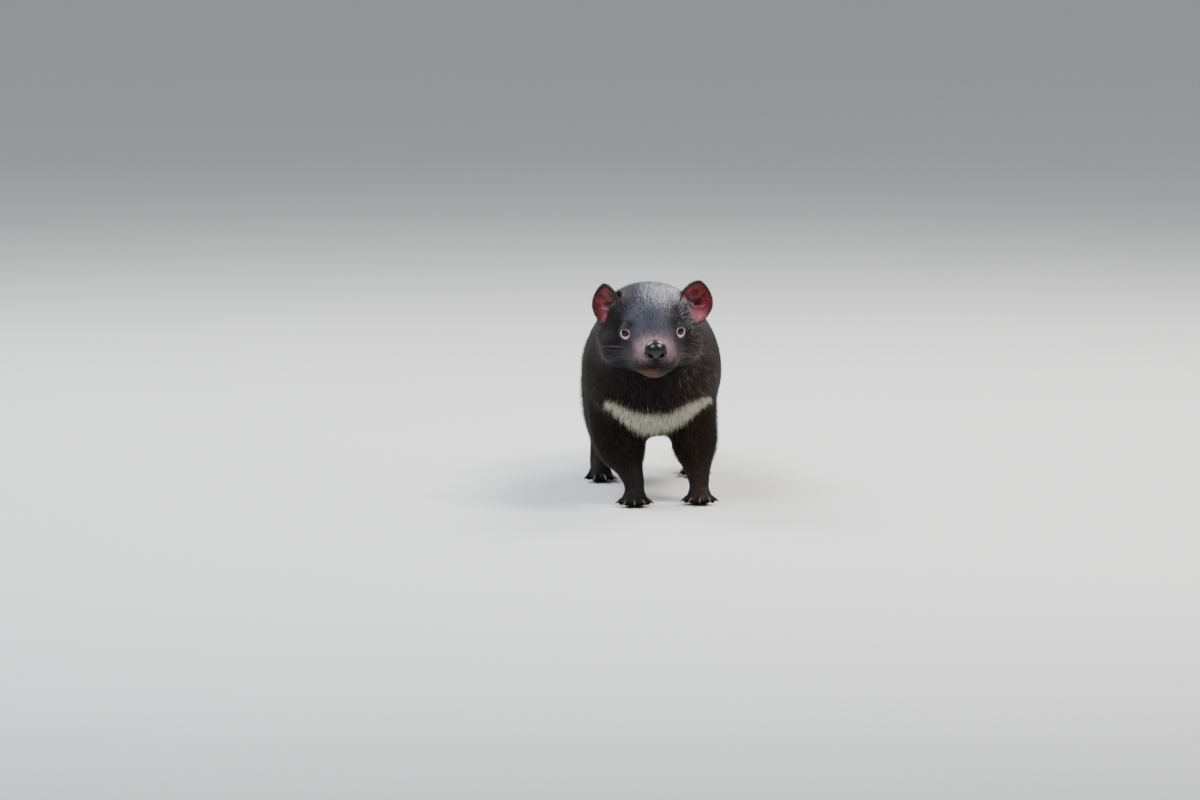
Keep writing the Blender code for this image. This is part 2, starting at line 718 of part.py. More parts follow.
def add_claws(nodes):
    """Long blunt claws, each growing from the end of its toe and curving to the ground."""
    for name, rows in all_toes().items():
        claws = []
        for root, tip, _ in rows:
            ahead = (tip - root)
            ahead.z = 0
            ahead.normalize()
            places, radii = [], []
            for i in range(5):
                share = i / 4
                drop = 0.0035 * share**2
                places.append(tip - ahead * 0.002 + ahead * (CLAW_LENGTH + 0.006) * share + Vector((0, 0, 0.0012 - drop)))
                radii.append(CLAW_RADIUS * (1 - 0.78 * share))
            claws.append(bent_rod("claw", places, radii))
        combine(nodes[name], claws, "UNION")


# Colours and the resting place


def material(name, colour, roughness):
    made = bpy.data.materials.new(name)
    made.use_nodes = True
    shader = made.node_tree.nodes["Principled BSDF"]
    shader.inputs["Base Color"].default_value = (*colour, 1)
    shader.inputs["Roughness"].default_value = roughness
    made.diffuse_color = (*colour, 1)
    return made


def paint(nodes):
    coats = {
        "eye": material("dark_eye", (0.02, 0.014, 0.012), 0.08),
        "nose": material("wet_nose", (0.012, 0.012, 0.014), 0.25),
        "ear": material("ear_skin", (0.30, 0.07, 0.07), 0.6),
    }
    fur = material("black_fur", (0.022, 0.019, 0.019), 0.85)
    for name, item in nodes.items():
        item.data.materials.clear()
        item.data.materials.append(coats.get(name.split("_")[0], fur))
        item.data.shade_smooth()
        item.data.set_sharp_from_angle(angle=math.radians(50))


def settle(nodes):
    """Hangs every node on one empty, so that the origin is under the middle of the whole animal."""
    corners = [item.matrix_world @ vert.co for item in nodes.values() for vert in item.data.vertices]
    low = Vector([min(corner[i] for corner in corners) for i in range(3)])
    high = Vector([max(corner[i] for corner in corners) for i in range(3)])
    stance = bpy.data.objects.new("stance", None)
    bpy.context.scene.collection.objects.link(stance)
    stance.location = (-(low.x + high.x) / 2, -(low.y + high.y) / 2, 0)
    for item in nodes.values():
        item.parent = stance


def main():
    clear_scene()
    body, eyes = whole_body()
    line = mouth_line(surface_of(body))
    nodes = part_body(body)
    grown_head = grown(nodes["head"], GAP)
    shape_head(nodes["head"], eyes, line)
    add_eyes(nodes, eyes)
    add_ears(nodes)
    add_nose(nodes, grown_head)
    add_claws(nodes)
    for helper in (body, grown_head):
        bpy.data.objects.remove(helper)
    paint(nodes)
    settle(nodes)


main()
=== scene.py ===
import math

import bmesh
import bpy
import numpy as np
from mathutils import Matrix, Vector
from mathutils.bvhtree import BVHTree
from mathutils.kdtree import KDTree


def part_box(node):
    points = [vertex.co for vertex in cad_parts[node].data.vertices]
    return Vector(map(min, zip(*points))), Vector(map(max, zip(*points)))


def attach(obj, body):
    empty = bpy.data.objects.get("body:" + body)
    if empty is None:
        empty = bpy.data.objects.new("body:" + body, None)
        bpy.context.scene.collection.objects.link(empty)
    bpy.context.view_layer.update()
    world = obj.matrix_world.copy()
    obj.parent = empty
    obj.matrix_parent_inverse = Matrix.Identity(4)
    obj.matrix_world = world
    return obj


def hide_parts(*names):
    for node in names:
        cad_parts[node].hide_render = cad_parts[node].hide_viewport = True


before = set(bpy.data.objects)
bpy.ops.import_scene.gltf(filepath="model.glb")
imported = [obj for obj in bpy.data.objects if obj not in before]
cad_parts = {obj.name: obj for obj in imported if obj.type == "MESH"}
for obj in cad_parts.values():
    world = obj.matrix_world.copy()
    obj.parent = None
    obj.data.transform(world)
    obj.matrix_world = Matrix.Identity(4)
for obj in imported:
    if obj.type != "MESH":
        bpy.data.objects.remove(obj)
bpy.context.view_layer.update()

bl_info = {
    "name": "Tasmanian Devil",
    "version": (1, 0, 0),
    "blender": (4, 5, 0),
    "location": "3D View > Sidebar > Devil",
    "description": "Skin, coat, eyes, ears, nose and claws of a life-size Tasmanian devil",
    "category": "Object",
}

BODY = "root"
FLESH = (
    "head", "neck", "torso", "tail",
    "foreleg_left", "foreleg_right", "hindleg_left", "hindleg_right",
    "forepaw_left", "forepaw_right", "hindpaw_left", "hindpaw_right",
)
SIDES = {"left": 1, "right": -1}


# Where things are. The head has a frame of its own: origin between the eyes, nose towards -Y


STANCE = Vector((-0.004655, -0.086989, 0.0))
EYE_LINE = Vector((0.0050, -0.214, 0.2228)) + STANCE
VIEW_POINT = Vector((0.0032, -0.08283, 0.0)) + STANCE
HEAD_TURN = (
    Matrix.Rotation(math.radians(-1.5), 4, "Y")
    @ Matrix.Rotation(math.radians(4), 4, "Z")
    @ Matrix.Rotation(math.radians(10), 4, "X")
)
HEAD = Matrix.Translation(EYE_LINE) @ HEAD_TURN
MUZZLE_TIP = -0.0545
PAW_FRONT = Vector((0, -0.018, 0.009))
SOLE_TOP = 0.0015
PAW_SPOTS = {
    "forepaw_left": Vector((0.0640, -0.140, 0.0)) + STANCE,
    "forepaw_right": Vector((-0.0165, -0.162, 0.0)) + STANCE,
    "hindpaw_left": Vector((0.0620, 0.142, 0.0)) + STANCE,
    "hindpaw_right": Vector((-0.0590, 0.088, 0.0)) + STANCE,
}


def middle_of(node):
    low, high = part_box(node)
    return (low + high) / 2


EYES = {side: middle_of("eye_" + side) for side in SIDES}
EYE_RADIUS = (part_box("eye_left")[1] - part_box("eye_left")[0]).x / 2
EYE_AIM = {
    side: (HEAD_TURN.to_3x3() @ Vector((sign * 0.46, -0.88, 0.10))).normalized()
    for side, sign in SIDES.items()
}
NOSE = Vector((0, -0.0498, -0.0088))
NOSE_RADII = Vector((0.0136, 0.0126, 0.0121))
NOSTRIL = Vector((0.0074, -0.0600, -0.0130))
EAR_HALF_HEIGHT = 0.0275
EAR_HALF_WIDTH = 0.0215
EAR_DEPTH = 0.0150
EAR_THICKNESS = 0.0024
EAR_LEAN = math.radians(14)
EAR_PLACE = {"left": Vector((0.0560, 0.0330, 0.0236)), "right": Vector((-0.0530, 0.0400, 0.0210))}
EAR_TURN = {"left": math.radians(11), "right": math.radians(46)}
EAR_MOUTH = Vector((0.0185, 0.0165, 0.0235))
EAR_FINE = {"rings": 34, "spokes": 108}


def ear_frame(side, sign):
    turn = Matrix.Rotation(sign * EAR_TURN[side], 4, "Z") @ Matrix.Rotation(sign * EAR_LEAN, 4, "Y")
    return HEAD @ Matrix.Translation(EAR_PLACE[side]) @ turn


class DevilSizes(bpy.types.PropertyGroup):
    skin_voxel: bpy.props.FloatProperty(
        name="Skin Fineness", description="Edge length of the skin's faces", default=0.0025,
        unit="LENGTH", subtype="DISTANCE",
    )
    body_coat: bpy.props.FloatProperty(
        name="Body Coat Depth", description="Height of the coat's tips over the skin of the trunk", default=0.0066,
        unit="LENGTH", subtype="DISTANCE",
    )
    crown_coat: bpy.props.FloatProperty(
        name="Crown Coat Depth", description="Height of the coat between the ears", default=0.0042,
        unit="LENGTH", subtype="DISTANCE",
    )
    muzzle_coat: bpy.props.FloatProperty(
        name="Muzzle Coat Depth", description="Height of the short hair on the muzzle and feet", default=0.0011,
        unit="LENGTH", subtype="DISTANCE",
    )
    coat_slant: bpy.props.FloatProperty(
        name="Coat Slant", description="Angle between the hair and the skin", default=math.radians(26),
        unit="ROTATION", subtype="ANGLE",
    )
    tuft_width: bpy.props.FloatProperty(
        name="Tuft Width", description="Width of a tuft of body hair at its root", default=0.00062,
        unit="LENGTH", subtype="DISTANCE",
    )
    whisker_length: bpy.props.FloatProperty(
        name="Whisker Length", description="Length of the longest whiskers", default=0.046,
        unit="LENGTH", subtype="DISTANCE",
    )
    claw_length: bpy.props.FloatProperty(
        name="Claw Length", description="Length of a claw beyond its toe", default=0.0100,
        unit="LENGTH", subtype="DISTANCE",
    )
    eye_opening: bpy.props.FloatVectorProperty(
        name="Eye Opening", description="Half width and half height between the lids", default=(0.0040, 0.0045),
        size=2, unit="LENGTH", subtype="XYZ",
    )


def colour_property(name, description, default):
    return bpy.props.FloatVectorProperty(
        name=name, description=description, default=default, size=3, min=0, max=1, subtype="COLOR"
    )


class DevilColours(bpy.types.PropertyGroup):
    coat_root: colour_property("Coat Root", "Hair next to the skin", (0.0042, 0.0037, 0.0040))
    coat_tip: colour_property("Coat Tip", "Ends of the black hair", (0.0175, 0.0146, 0.0146))
    coat_brown: colour_property("Coat Brown", "Sun-browned hair on cheeks and shoulders", (0.070, 0.038, 0.024))
    # Painted reflection of a bluish sky on the forehead and the animal's right cheek
    coat_sky_sheen: colour_property("Coat Slate", "Bluish hair of the forehead", (0.044, 0.050, 0.078))
    # Painted highlight: sunlit glints on hair tips of crown, ear bases, cheek and shoulder; also the real pale hairs at
    # the ears' mouths
    coat_glint_and_pale_hair: colour_property("Coat Silver", "Grizzled tips on the crown", (0.62, 0.60, 0.66))
    band: colour_property("Chest Band", "Cream hair of the band across the chest", (0.80, 0.78, 0.58))
    skin: colour_property("Skin", "Dark skin under the coat", (0.0085, 0.0068, 0.0070))
    muzzle: colour_property("Muzzle Skin", "Pinkish brown skin round the nose", (0.280, 0.172, 0.188))
    # Dark lips, partly painted shade along the line of the mouth
    lip: colour_property("Lips", "Dark edge of the mouth", (0.009, 0.006, 0.006))
    lid: colour_property("Lids", "Pale pink rim of the eye", (0.60, 0.38, 0.32))
    canthus: colour_property("Eye Corner", "Pink inner corner of the eye", (0.50, 0.19, 0.145))
    iris: colour_property("Iris", "Dark brown iris", (0.011, 0.0045, 0.003))
    nose: colour_property("Nose", "Moist black skin of the nose", (0.0024, 0.0025, 0.0030))
    ear_rim: colour_property("Ear Skin", "Crimson skin inside the ear", (0.285, 0.030, 0.045))
    # Painted shade in the ear's hollows, and the dark red mottle of its skin
    ear_shade_and_mottle: colour_property("Ear Hollow", "Dark red depth of the ear", (0.036, 0.005, 0.008))
    ear_pale: colour_property("Ear Fold", "Pale pink fold at the foot of the ear", (0.58, 0.17, 0.225))
    claw: colour_property("Claws", "Dark horn", (0.016, 0.011, 0.009))
    pad: colour_property("Paw Pads", "Bare skin under the paws", (0.030, 0.020, 0.019))
    floor: colour_property("Floor", "Plain pale floor", (0.62, 0.62, 0.61))


def sizes():
    return bpy.context.scene.devil_sizes


def colours():
    return bpy.context.scene.devil_colours


# Shader maths: a wrapped socket that can be added, multiplied and mixed


class Link:
    def __init__(self, tree, socket):
        self.tree = tree
        self.socket = socket

    def _math(self, operation, *values):
        node = self.tree.nodes.new("ShaderNodeMath")
        node.operation = operation
        for place, value in zip(node.inputs, values):
            connect(self.tree, place, value)
        return Link(self.tree, node.outputs[0])

    def __add__(self, other):
        return self._math("ADD", self, other)

    def __radd__(self, other):
        return self._math("ADD", other, self)

    def __sub__(self, other):
        return self._math("SUBTRACT", self, other)

    def __rsub__(self, other):
        return self._math("SUBTRACT", other, self)

    def __mul__(self, other):
        return self._math("MULTIPLY", self, other)

    def __rmul__(self, other):
        return self._math("MULTIPLY", other, self)

    def __pow__(self, other):
        return self._math("POWER", self, other)

    def clamped(self):
        return self._math("MINIMUM", self._math("MAXIMUM", self, 0.0), 1.0)


def connect(tree, place, value):
    if isinstance(value, Link):
        tree.links.new(value.socket, place)
    elif hasattr(place.default_value, "__len__") and not hasattr(value, "__len__"):
        place.default_value = [value] * len(place.default_value)
    elif hasattr(value, "__len__") and len(value) == 3 and len(place.default_value) == 4:
        place.default_value = (*value, 1)
    else:
        place.default_value = value


class Shader:
    """A material under construction."""

    def __init__(self, name):
        self.material = bpy.data.materials.new(name)
        self.material.use_nodes = True
        self.tree = self.material.node_tree
        self.surface = self.tree.nodes["Principled BSDF"]

    def node(self, kind, settings=None, output=0, **values):
        """Any node: its settings first, then the values or links of its sockets by name."""
        made = self.tree.nodes.new("ShaderNode" + kind)
        for name, value in (settings or {}).items():
            setattr(made, name, value)
        for name, value in values.items():
            connect(self.tree, made.inputs[name.replace("_", " ")], value)
        return Link(self.tree, made.outputs[output])

    def place(self):
        return self.node("TexCoord", output="Object")

    def attribute(self, name):
        return self.node("Attribute", {"attribute_name": name}, "Fac")

    def noise(self, scale, detail=3.0, roughness=0.55, vector=None):
        return self.node(
            "TexNoise", Vector=vector or self.place(), Scale=scale, Detail=detail, Roughness=roughness
        )

    def mix(self, share, first, second):
        made = self.tree.nodes.new("ShaderNodeMix")
        made.data_type = "RGBA"
        connect(self.tree, made.inputs[0], share)
        connect(self.tree, made.inputs[6], first)
        connect(self.tree, made.inputs[7], second)
        return Link(self.tree, made.outputs[2])

    def span(self, value, low, high, start=0.0, end=1.0):
        """Reads value from low to high as start to end."""
        return self.node(
            "MapRange", {"clamp": True}, Value=value,
            From_Min=low, From_Max=high, To_Min=start, To_Max=end,
        )

    def bump(self, height, strength, distance):
        return self.node("Bump", Height=height, Strength=strength, Distance=distance)

    def finish(self, **values):
        for name, value in values.items():
            connect(self.tree, self.surface.inputs[name.replace("_", " ")], value)
        return self.material


# Mesh helpers


def object_from(name, shape):
    mesh = bpy.data.meshes.new(name)
    shape.to_mesh(mesh)
    shape.free()
    piece = bpy.data.objects.new(name, mesh)
    bpy.context.scene.collection.objects.link(piece)
    return piece


def apply_modifiers(piece):
    bpy.context.view_layer.update()
    mesh = bpy.data.meshes.new_from_object(piece.evaluated_get(bpy.context.evaluated_depsgraph_get()))
    piece.modifiers.clear()
    piece.data = mesh


def points_of(mesh):
    found = np.empty(len(mesh.vertices) * 3, np.float32)
    mesh.vertices.foreach_get("co", found)
    return found.reshape(-1, 3).astype(np.float64)


def normals_of(mesh):
    found = np.empty(len(mesh.vertices) * 3, np.float32)
    mesh.vertex_normals.foreach_get("vector", found)
    return found.reshape(-1, 3).astype(np.float64)


def set_points(mesh, points):
    mesh.vertices.foreach_set("co", points.astype(np.float32).reshape(-1))
    mesh.update()


def set_values(mesh, name, values):
    attribute = mesh.attributes.get(name) or mesh.attributes.new(name, "FLOAT", "POINT")
    attribute.data.foreach_set("value", np.asarray(values, np.float32))


def dress(piece, material, slot, *nodes):
    """Gives a finished piece its material and its body and hides the nodes it stands for. The slot is not used."""
    piece.data.materials.clear()
    piece.data.materials.append(material)
    piece.data.shade_smooth()
    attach(piece, BODY)
    if nodes:
        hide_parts(*nodes)
    return piece


def tube(shape, rings, capped=True):
    """Joins rings of places, each with the same number of points, into one tube."""
    loops = []
    for i, ring in enumerate(rings):
        cap = capped and i in (0, len(rings) - 1)
        verts = bmesh.ops.create_circle(shape, cap_ends=cap, segments=len(ring), radius=1)["verts"]
        for vert, place in zip(verts, ring):
            vert.co = place
        loops.append(list(dict.fromkeys(edge for vert in verts for edge in vert.link_edges)))
    for first, second in zip(loops, loops[1:]):
        bmesh.ops.bridge_loops(shape, edges=first + second)


def ease(low, high, values):
    share = np.clip((values - low) / (high - low), 0, 1)
    return share * share * (3 - 2 * share)


def in_head(points):
    back = np.array(HEAD.inverted())
    return points @ back[:3, :3].T + back[:3, 3]


def out_of_head(points):
    there = np.array(HEAD)
    return points @ there[:3, :3].T + there[:3, 3]


def smooth_row(rows, steps):
    """Rows of numbers read from a Catmull-Rom curve through the given ones."""
    ends = [rows[0]] + list(rows) + [rows[-1]]
    found = []
    for i in range(1, len(ends) - 2):
        for k in range(steps):
            t = k / steps
            found.append([
                0.5 * (2 * b + (c - a) * t + (2 * a - 5 * b + 4 * c - d) * t**2 + (3 * b - a - 3 * c + d) * t**3)
                for a, b, c, d in zip(ends[i - 1], ends[i], ends[i + 1], ends[i + 2])
            ])
    return found + [list(rows[-1])]


# Markings and painted light, as shares between 0 and 1 for points on the body


def upright(points):
    """Height as seen along the level line of sight, tilted a little downwards."""
    tilt = math.radians(6.5)
    return (points[:, 1] - VIEW_POINT.y) * math.sin(tilt) + points[:, 2] * math.cos(tilt)


BAND_LINE = (
    (-0.0560, 0.1185, 0.0030), (-0.0500, 0.1175, 0.0052), (-0.0428, 0.1118, 0.0066), (-0.0319, 0.1054, 0.0090),
    (-0.0213, 0.0975, 0.0108), (-0.0104, 0.0938, 0.0126), (0.0000, 0.0935, 0.0124), (0.0163, 0.0956, 0.0100),
    (0.0275, 0.0988, 0.0104), (0.0434, 0.1075, 0.0108), (0.0595, 0.1188, 0.0058), (0.0735, 0.1252, 0.0026),
)


def band_share(points, fuzz):
    """The cream band across the chest. Fuzz is a number for each point that frays its edge."""
    line = np.array(BAND_LINE)
    across = points[:, 0] - VIEW_POINT.x
    height = upright(points)
    centre = np.interp(across, line[:, 0], line[:, 1])
    half = np.interp(across, line[:, 0], line[:, 2])
    apart = np.abs(height - centre) - half * (1 + 0.22 * fuzz)
    beyond = np.maximum(line[0, 0] - across, across - line[-1, 0])
    front = points[:, 1] < -0.165
    return (1 - ease(-0.0012, 0.0012, np.maximum(apart, beyond))) * front


def speckle(points, size, seed=0.0):
    """Soft random spots between -1 and 1, the given size across."""
    turned = points / size
    total = np.zeros(len(points))
    for k, (a, b, c) in enumerate(((1.0, 0.31, 0.17), (-0.23, 1.0, 0.41), (0.37, -0.19, 1.0), (0.71, 0.67, -0.59))):
        total += np.sin(turned @ np.array((a, b, c)) * 3.1 + seed + 1.7 * k + 1.3 * total)
    return total / 4


def face_shares(points):
    """Shares of bare muzzle, brown chin, painted sky sheen on the forehead, painted sunlit glints on the crown, brown
    cheek, and dark brow with painted shade under it.
    """
    local = in_head(points)
    x, y, z = local[:, 0], local[:, 1], local[:, 2]
    ragged = 0.16 * speckle(points, 0.0042) + 0.10 * speckle(points, 0.0017, 2.0)
    from_nose = np.sqrt((x / 0.032) ** 2 + ((y - MUZZLE_TIP) / 0.034) ** 2 + ((z + 0.010) / 0.024) ** 2)
    muzzle = 1 - ease(0.55, 1.28, from_nose + ragged)
    muzzle *= 1 - 0.80 * ease(-0.015, -0.029, z + 0.004 * speckle(points, 0.006, 4.0))
    # A dark strip under the nose: the dark philtrum, with painted shade under the nose
    muzzle *= 1 - 0.98 * np.exp(-(x / 0.0098) ** 2) * ease(-0.0160, -0.0205, z)
    muzzle *= 1 - 0.55 * ease(-0.004, 0.008, z)
    # Painted shade: the pink of the muzzle is darker on the animal's left half
    muzzle *= 1 - 0.34 * ease(0.002, 0.016, x)
    from_chin = np.sqrt(((x + 0.006) / 0.017) ** 2 + ((y + 0.042) / 0.022) ** 2 + ((z + 0.041) / 0.011) ** 2)
    chin = 1 - ease(0.4, 1.25, from_chin + 1.3 * ragged)
    on_head = 1 - ease(0.045, 0.100, y)
    # Painted sky reflection: a bluish sheen on the forehead and, weaker, on the animal's right cheek
    slate = ease(-0.026, 0.000, z) * ease(-0.048, -0.020, y) * on_head * (1 - ease(0.026, 0.050, np.abs(x - 0.004)))
    slate *= 1 - 0.6 * ease(0.006, 0.030, x)
    slate *= 1 - 0.65 * ease(0.020, 0.036, z) * ease(-0.004, -0.022, x)
    left_cheek = ease(-0.012, -0.034, x) * ease(-0.052, -0.030, z) * (1 - ease(0.008, 0.045, y))
    slate = np.maximum(slate, 0.30 * left_cheek)
    # Painted sunlit glints on the crown's hair tips, right of the middle and in front of the ears
    crown = ease(-0.004, 0.026, y) * (1 - ease(0.038, 0.080, y)) * ease(0.012, 0.034, z)
    silver = crown * ease(-0.020, 0.014, x) * (1 - ease(0.056, 0.070, x))
    before_ear = np.exp(-(((x - 0.046) / 0.013) ** 2 + ((y - 0.022) / 0.020) ** 2 + ((z - 0.012) / 0.016) ** 2))
    silver = np.maximum(silver, 0.85 * before_ear)
    brown = ease(0.024, 0.048, np.abs(x)) * (1 - ease(0.005, 0.035, z)) * (1 - ease(0.10, 0.20, y))
    brown *= 0.40 + 0.60 * (x > 0)
    # Dark patch over each eye: dark hair, partly painted shade under the brow
    brow = np.zeros(len(points))
    for sign in SIDES.values():
        away = ((x - sign * 0.0285) / 0.0062) ** 2 + ((y + 0.010) / 0.010) ** 2 + ((z - 0.0120) / 0.0040) ** 2
        brow = np.maximum(brow, 0.85 * np.exp(-away * (1 + ragged)))
    # Painted glints of sunlit hair on the animal's left cheek, neck and shoulder
    fleck = ease(0.026, 0.045, x) * ease(-0.105, -0.070, z) * ease(-0.030, 0.000, y) * (1 - ease(0.06, 0.11, y))
    silver = np.maximum(silver, 0.050 * fleck)
    return {"muzzle": muzzle, "chin": chin, "slate": slate * (1 - brow), "silver": silver, "brown": brown, "brow": brow}


# Skin


def ear_gap(points):
    """Rough distance from the ears' cups and the hollows in front of them. It is negative inside."""
    apart = np.full(len(points), 1.0)
    for side, sign in SIDES.items():
        back = np.array(ear_frame(side, sign).inverted())
        local = points @ back[:3, :3].T + back[:3, 3]
        cup = local / np.array((EAR_HALF_WIDTH + 0.0017, EAR_DEPTH + 0.0017, EAR_HALF_HEIGHT + 0.0017))
        cup = np.where(local[:, 1] > -0.002, np.linalg.norm(cup, axis=1), 9.0)
        slant = np.array(Matrix.Rotation(sign * math.radians(12), 3, "Y"))
        mouth = ((local - np.array((sign * 0.0045, 0, 0.0030))) @ slant.T) / np.array(EAR_MOUTH)
        apart = np.minimum(apart, (np.minimum(cup, np.linalg.norm(mouth, axis=1)) - 1) * 0.019)
    return apart


def coat_depth(points):
    """How far the coat's tips stand over the skin, from the short hair of the face and feet to the trunk."""
    depth = np.full(len(points), sizes().body_coat)
    local = in_head(points)
    head_share = ease(0.105, 0.055, local[:, 1])
    cheek = ease(-0.020, 0.030, local[:, 1]) * (sizes().crown_coat + 0.0014 * ease(0.02, -0.03, local[:, 2]))
    face = sizes().muzzle_coat + np.maximum(0, cheek - sizes().muzzle_coat * ease(-0.020, 0.030, local[:, 1]))
    depth = depth * (1 - head_share) + face * head_share
    low = ease(0.105, 0.026, points[:, 2]) * (points[:, 1] > -0.30)
    behind = points[:, 1] > 0.16
    low = np.where(behind, 0, low)
    depth = depth * (1 - low) + sizes().muzzle_coat * low
    tail = ease(0.19, 0.34, points[:, 1])
    depth = depth * (1 - 0.45 * tail)
    for centre in EYES.values():
        near = 1 - ease(0.0095, 0.0150, np.linalg.norm(points - np.array(centre), axis=1))
        depth = depth * (1 - near) + 0.0005 * near
    near = 1 - ease(0.0003, 0.0075, ear_gap(points))
    depth = depth * (1 - near) + 0.0007 * near
    from_nose = np.linalg.norm((local - np.array(NOSE)) / np.array(NOSE_RADII), axis=1)
    return depth * ease(0.95, 1.5, from_nose)


def mouth_route(tree):
    """Points along the lips, from one corner of the mouth round under the nose to the other."""
    tip = MUZZLE_TIP
    half = [
        (0.0440, 0.006, -0.0300), (0.0400, -0.010, -0.0325), (0.0340, -0.024, -0.0340),
        (0.0270, tip + 0.018, -0.0340), (0.0170, tip + 0.007, -0.0325), (0.0060, tip + 0.002, -0.0290),
    ]
    route = [(-x, y, z) for x, y, z in half] + [(x, y, z) for x, y, z in reversed(half)]
    return [tree.find_nearest(HEAD @ Vector(place))[0] for place in smooth_row(route, 8)]


def nearest_on(route, points):
    """Distance of each point to a row of places."""
    places = np.array([list(place) for place in route])
    apart = np.full(len(points), 1.0)
    for first, second in zip(places, places[1:]):
        run = second - first
        share = np.clip((points - first) @ run / max(run @ run, 1e-12), 0, 1)
        apart = np.minimum(apart, np.linalg.norm(points - first - share[:, None] * run, axis=1))
    return apart


def relax(mesh, rounds, weight=None):
    """Evens the mesh out by moving each point towards the middle of its neighbours."""
    edges = np.empty(len(mesh.edges) * 2, np.int32)
    mesh.edges.foreach_get("vertices", edges)
    edges = edges.reshape(-1, 2)
    points = points_of(mesh)
    count = np.bincount(edges.ravel(), minlength=len(points))[:, None]
    for _ in range(rounds):
        total = np.zeros_like(points)
        for k in range(3):
            total[:, k] += np.bincount(edges[:, 0], points[edges[:, 1], k], len(points))
            total[:, k] += np.bincount(edges[:, 1], points[edges[:, 0], k], len(points))
        step = 0.5 * (total / np.maximum(count, 1) - points)
        points += step if weight is None else step * weight[:, None]
    set_points(mesh, points)


def skin_mesh():
    """One closed skin from copies of the solids, drawn in by the depth of the coat."""
    shape = bmesh.new()
    for name in FLESH + ("eye_left", "eye_right"):
        shape.from_mesh(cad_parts[name].data)
    bmesh.ops.remove_doubles(shape, verts=shape.verts, dist=1e-6)
    piece = object_from("skin", shape)
    fuse = piece.modifiers.new("fuse", "REMESH")
    fuse.mode = "VOXEL"
    fuse.voxel_size = sizes().skin_voxel
    apply_modifiers(piece)
    mesh = piece.data
    relax(mesh, 5)
    points = points_of(mesh)
    local = in_head(points)
    crease = ease(0.018, 0.050, local[:, 1]) * (1 - ease(0.105, 0.145, local[:, 1]))
    crease *= (1 - ease(-0.006, 0.010, local[:, 2])) * ease(-0.115, -0.085, local[:, 2])
    relax(mesh, 170, crease * ease(0.012, 0.030, np.abs(local[:, 0])))
    steps = 4
    points = points_of(mesh)
    depth = coat_depth(points)
    for _ in range(steps):
        points = points_of(mesh) - normals_of(mesh) * (depth / steps)[:, None]
        set_points(mesh, points)
        relax(mesh, 1)
    return piece


def refine_face(piece):
    """Splits the faces of the muzzle, the toes and round the eyes, where the folds are."""
    shape = bmesh.new()
    shape.from_mesh(piece.data)
    places = [HEAD @ Vector((0, -0.035, -0.022))] + list(EYES.values())
    places += [spot + PAW_FRONT for spot in PAW_SPOTS.values()]
    reach = [0.036, 0.016, 0.016] + [0.024] * len(PAW_SPOTS)
    chosen = {
        edge
        for face in shape.faces
        if any((face.calc_center_median() - place).length < far for place, far in zip(places, reach))
        for edge in face.edges
    }
    bmesh.ops.subdivide_edges(shape, edges=list(chosen), cuts=1, use_grid_fill=True, smooth=0.4)
    shape.to_mesh(piece.data)
    shape.free()


def fold_face(piece):
    """Sinks the line of the mouth into the skin and swells the lips."""
    mesh = piece.data
    points = points_of(mesh)
    normals = normals_of(mesh)
    tree = BVHTree.FromObject(piece, bpy.context.evaluated_depsgraph_get())
    route = mouth_route(tree)
    apart = nearest_on(route, points)
    swell = np.exp(-((apart - 0.0026) / 0.0014) ** 2) * 0.00055
    groove = np.exp(-((apart / 0.00105) ** 2)) * 0.0015
    points += normals * (swell - groove)[:, None]
    set_points(mesh, points)
    return route


def clear_ears(mesh):
    """Pushes the skin back behind the ears' cups, furthest behind their middles."""
    points = points_of(mesh)
    for side, sign in SIDES.items():
        there = np.array(ear_frame(side, sign))
        local = (points - there[:3, 3]) @ there[:3, :3]
        scaled = local / np.array((EAR_HALF_WIDTH, EAR_DEPTH, EAR_HALF_HEIGHT))
        size = np.maximum(np.linalg.norm(scaled, axis=1), 1e-9)
        off = np.clip(np.hypot(scaled[:, 0], scaled[:, 2]) / size, 0, 1)
        least = 1 + 0.0068 * (1 - off**3) / EAR_DEPTH
        inside = (local[:, 1] > 0.001) & (size < least) & (size > 0.3) & (off < 0.97)
        local[inside] *= (least / size)[inside, None]
        points[inside] = local[inside] @ there[:3, :3].T + there[:3, 3]
    set_points(mesh, points)


def shape_paws(mesh):
    """Brings the skin of the toes back to the solids, which the even mesh has rounded off."""
    points = points_of(mesh)
    for name, spot in PAW_SPOTS.items():
        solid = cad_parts[name].data
        tree = BVHTree.FromPolygons([vert.co for vert in solid.vertices], [face.vertices for face in solid.polygons])
        place = np.array(spot + PAW_FRONT)
        far = np.linalg.norm(points - place, axis=1)
        for i in np.flatnonzero(far < 0.028):
            found, normal, _, _ = tree.find_nearest(points[i])
            share = 1 - ease_number(0.018, 0.027, far[i])
            points[i] += (np.array(found - normal * sizes().muzzle_coat * 0.7) - points[i]) * share
    set_points(mesh, points)
    fronts = [np.linalg.norm(points - np.array(spot + PAW_FRONT), axis=1) for spot in PAW_SPOTS.values()]
    relax(mesh, 2, (np.min(fronts, axis=0) < 0.028) * 0.6)
    points = points_of(mesh)
    points[points[:, 2] < SOLE_TOP, 2] = 0.0
    set_points(mesh, points)


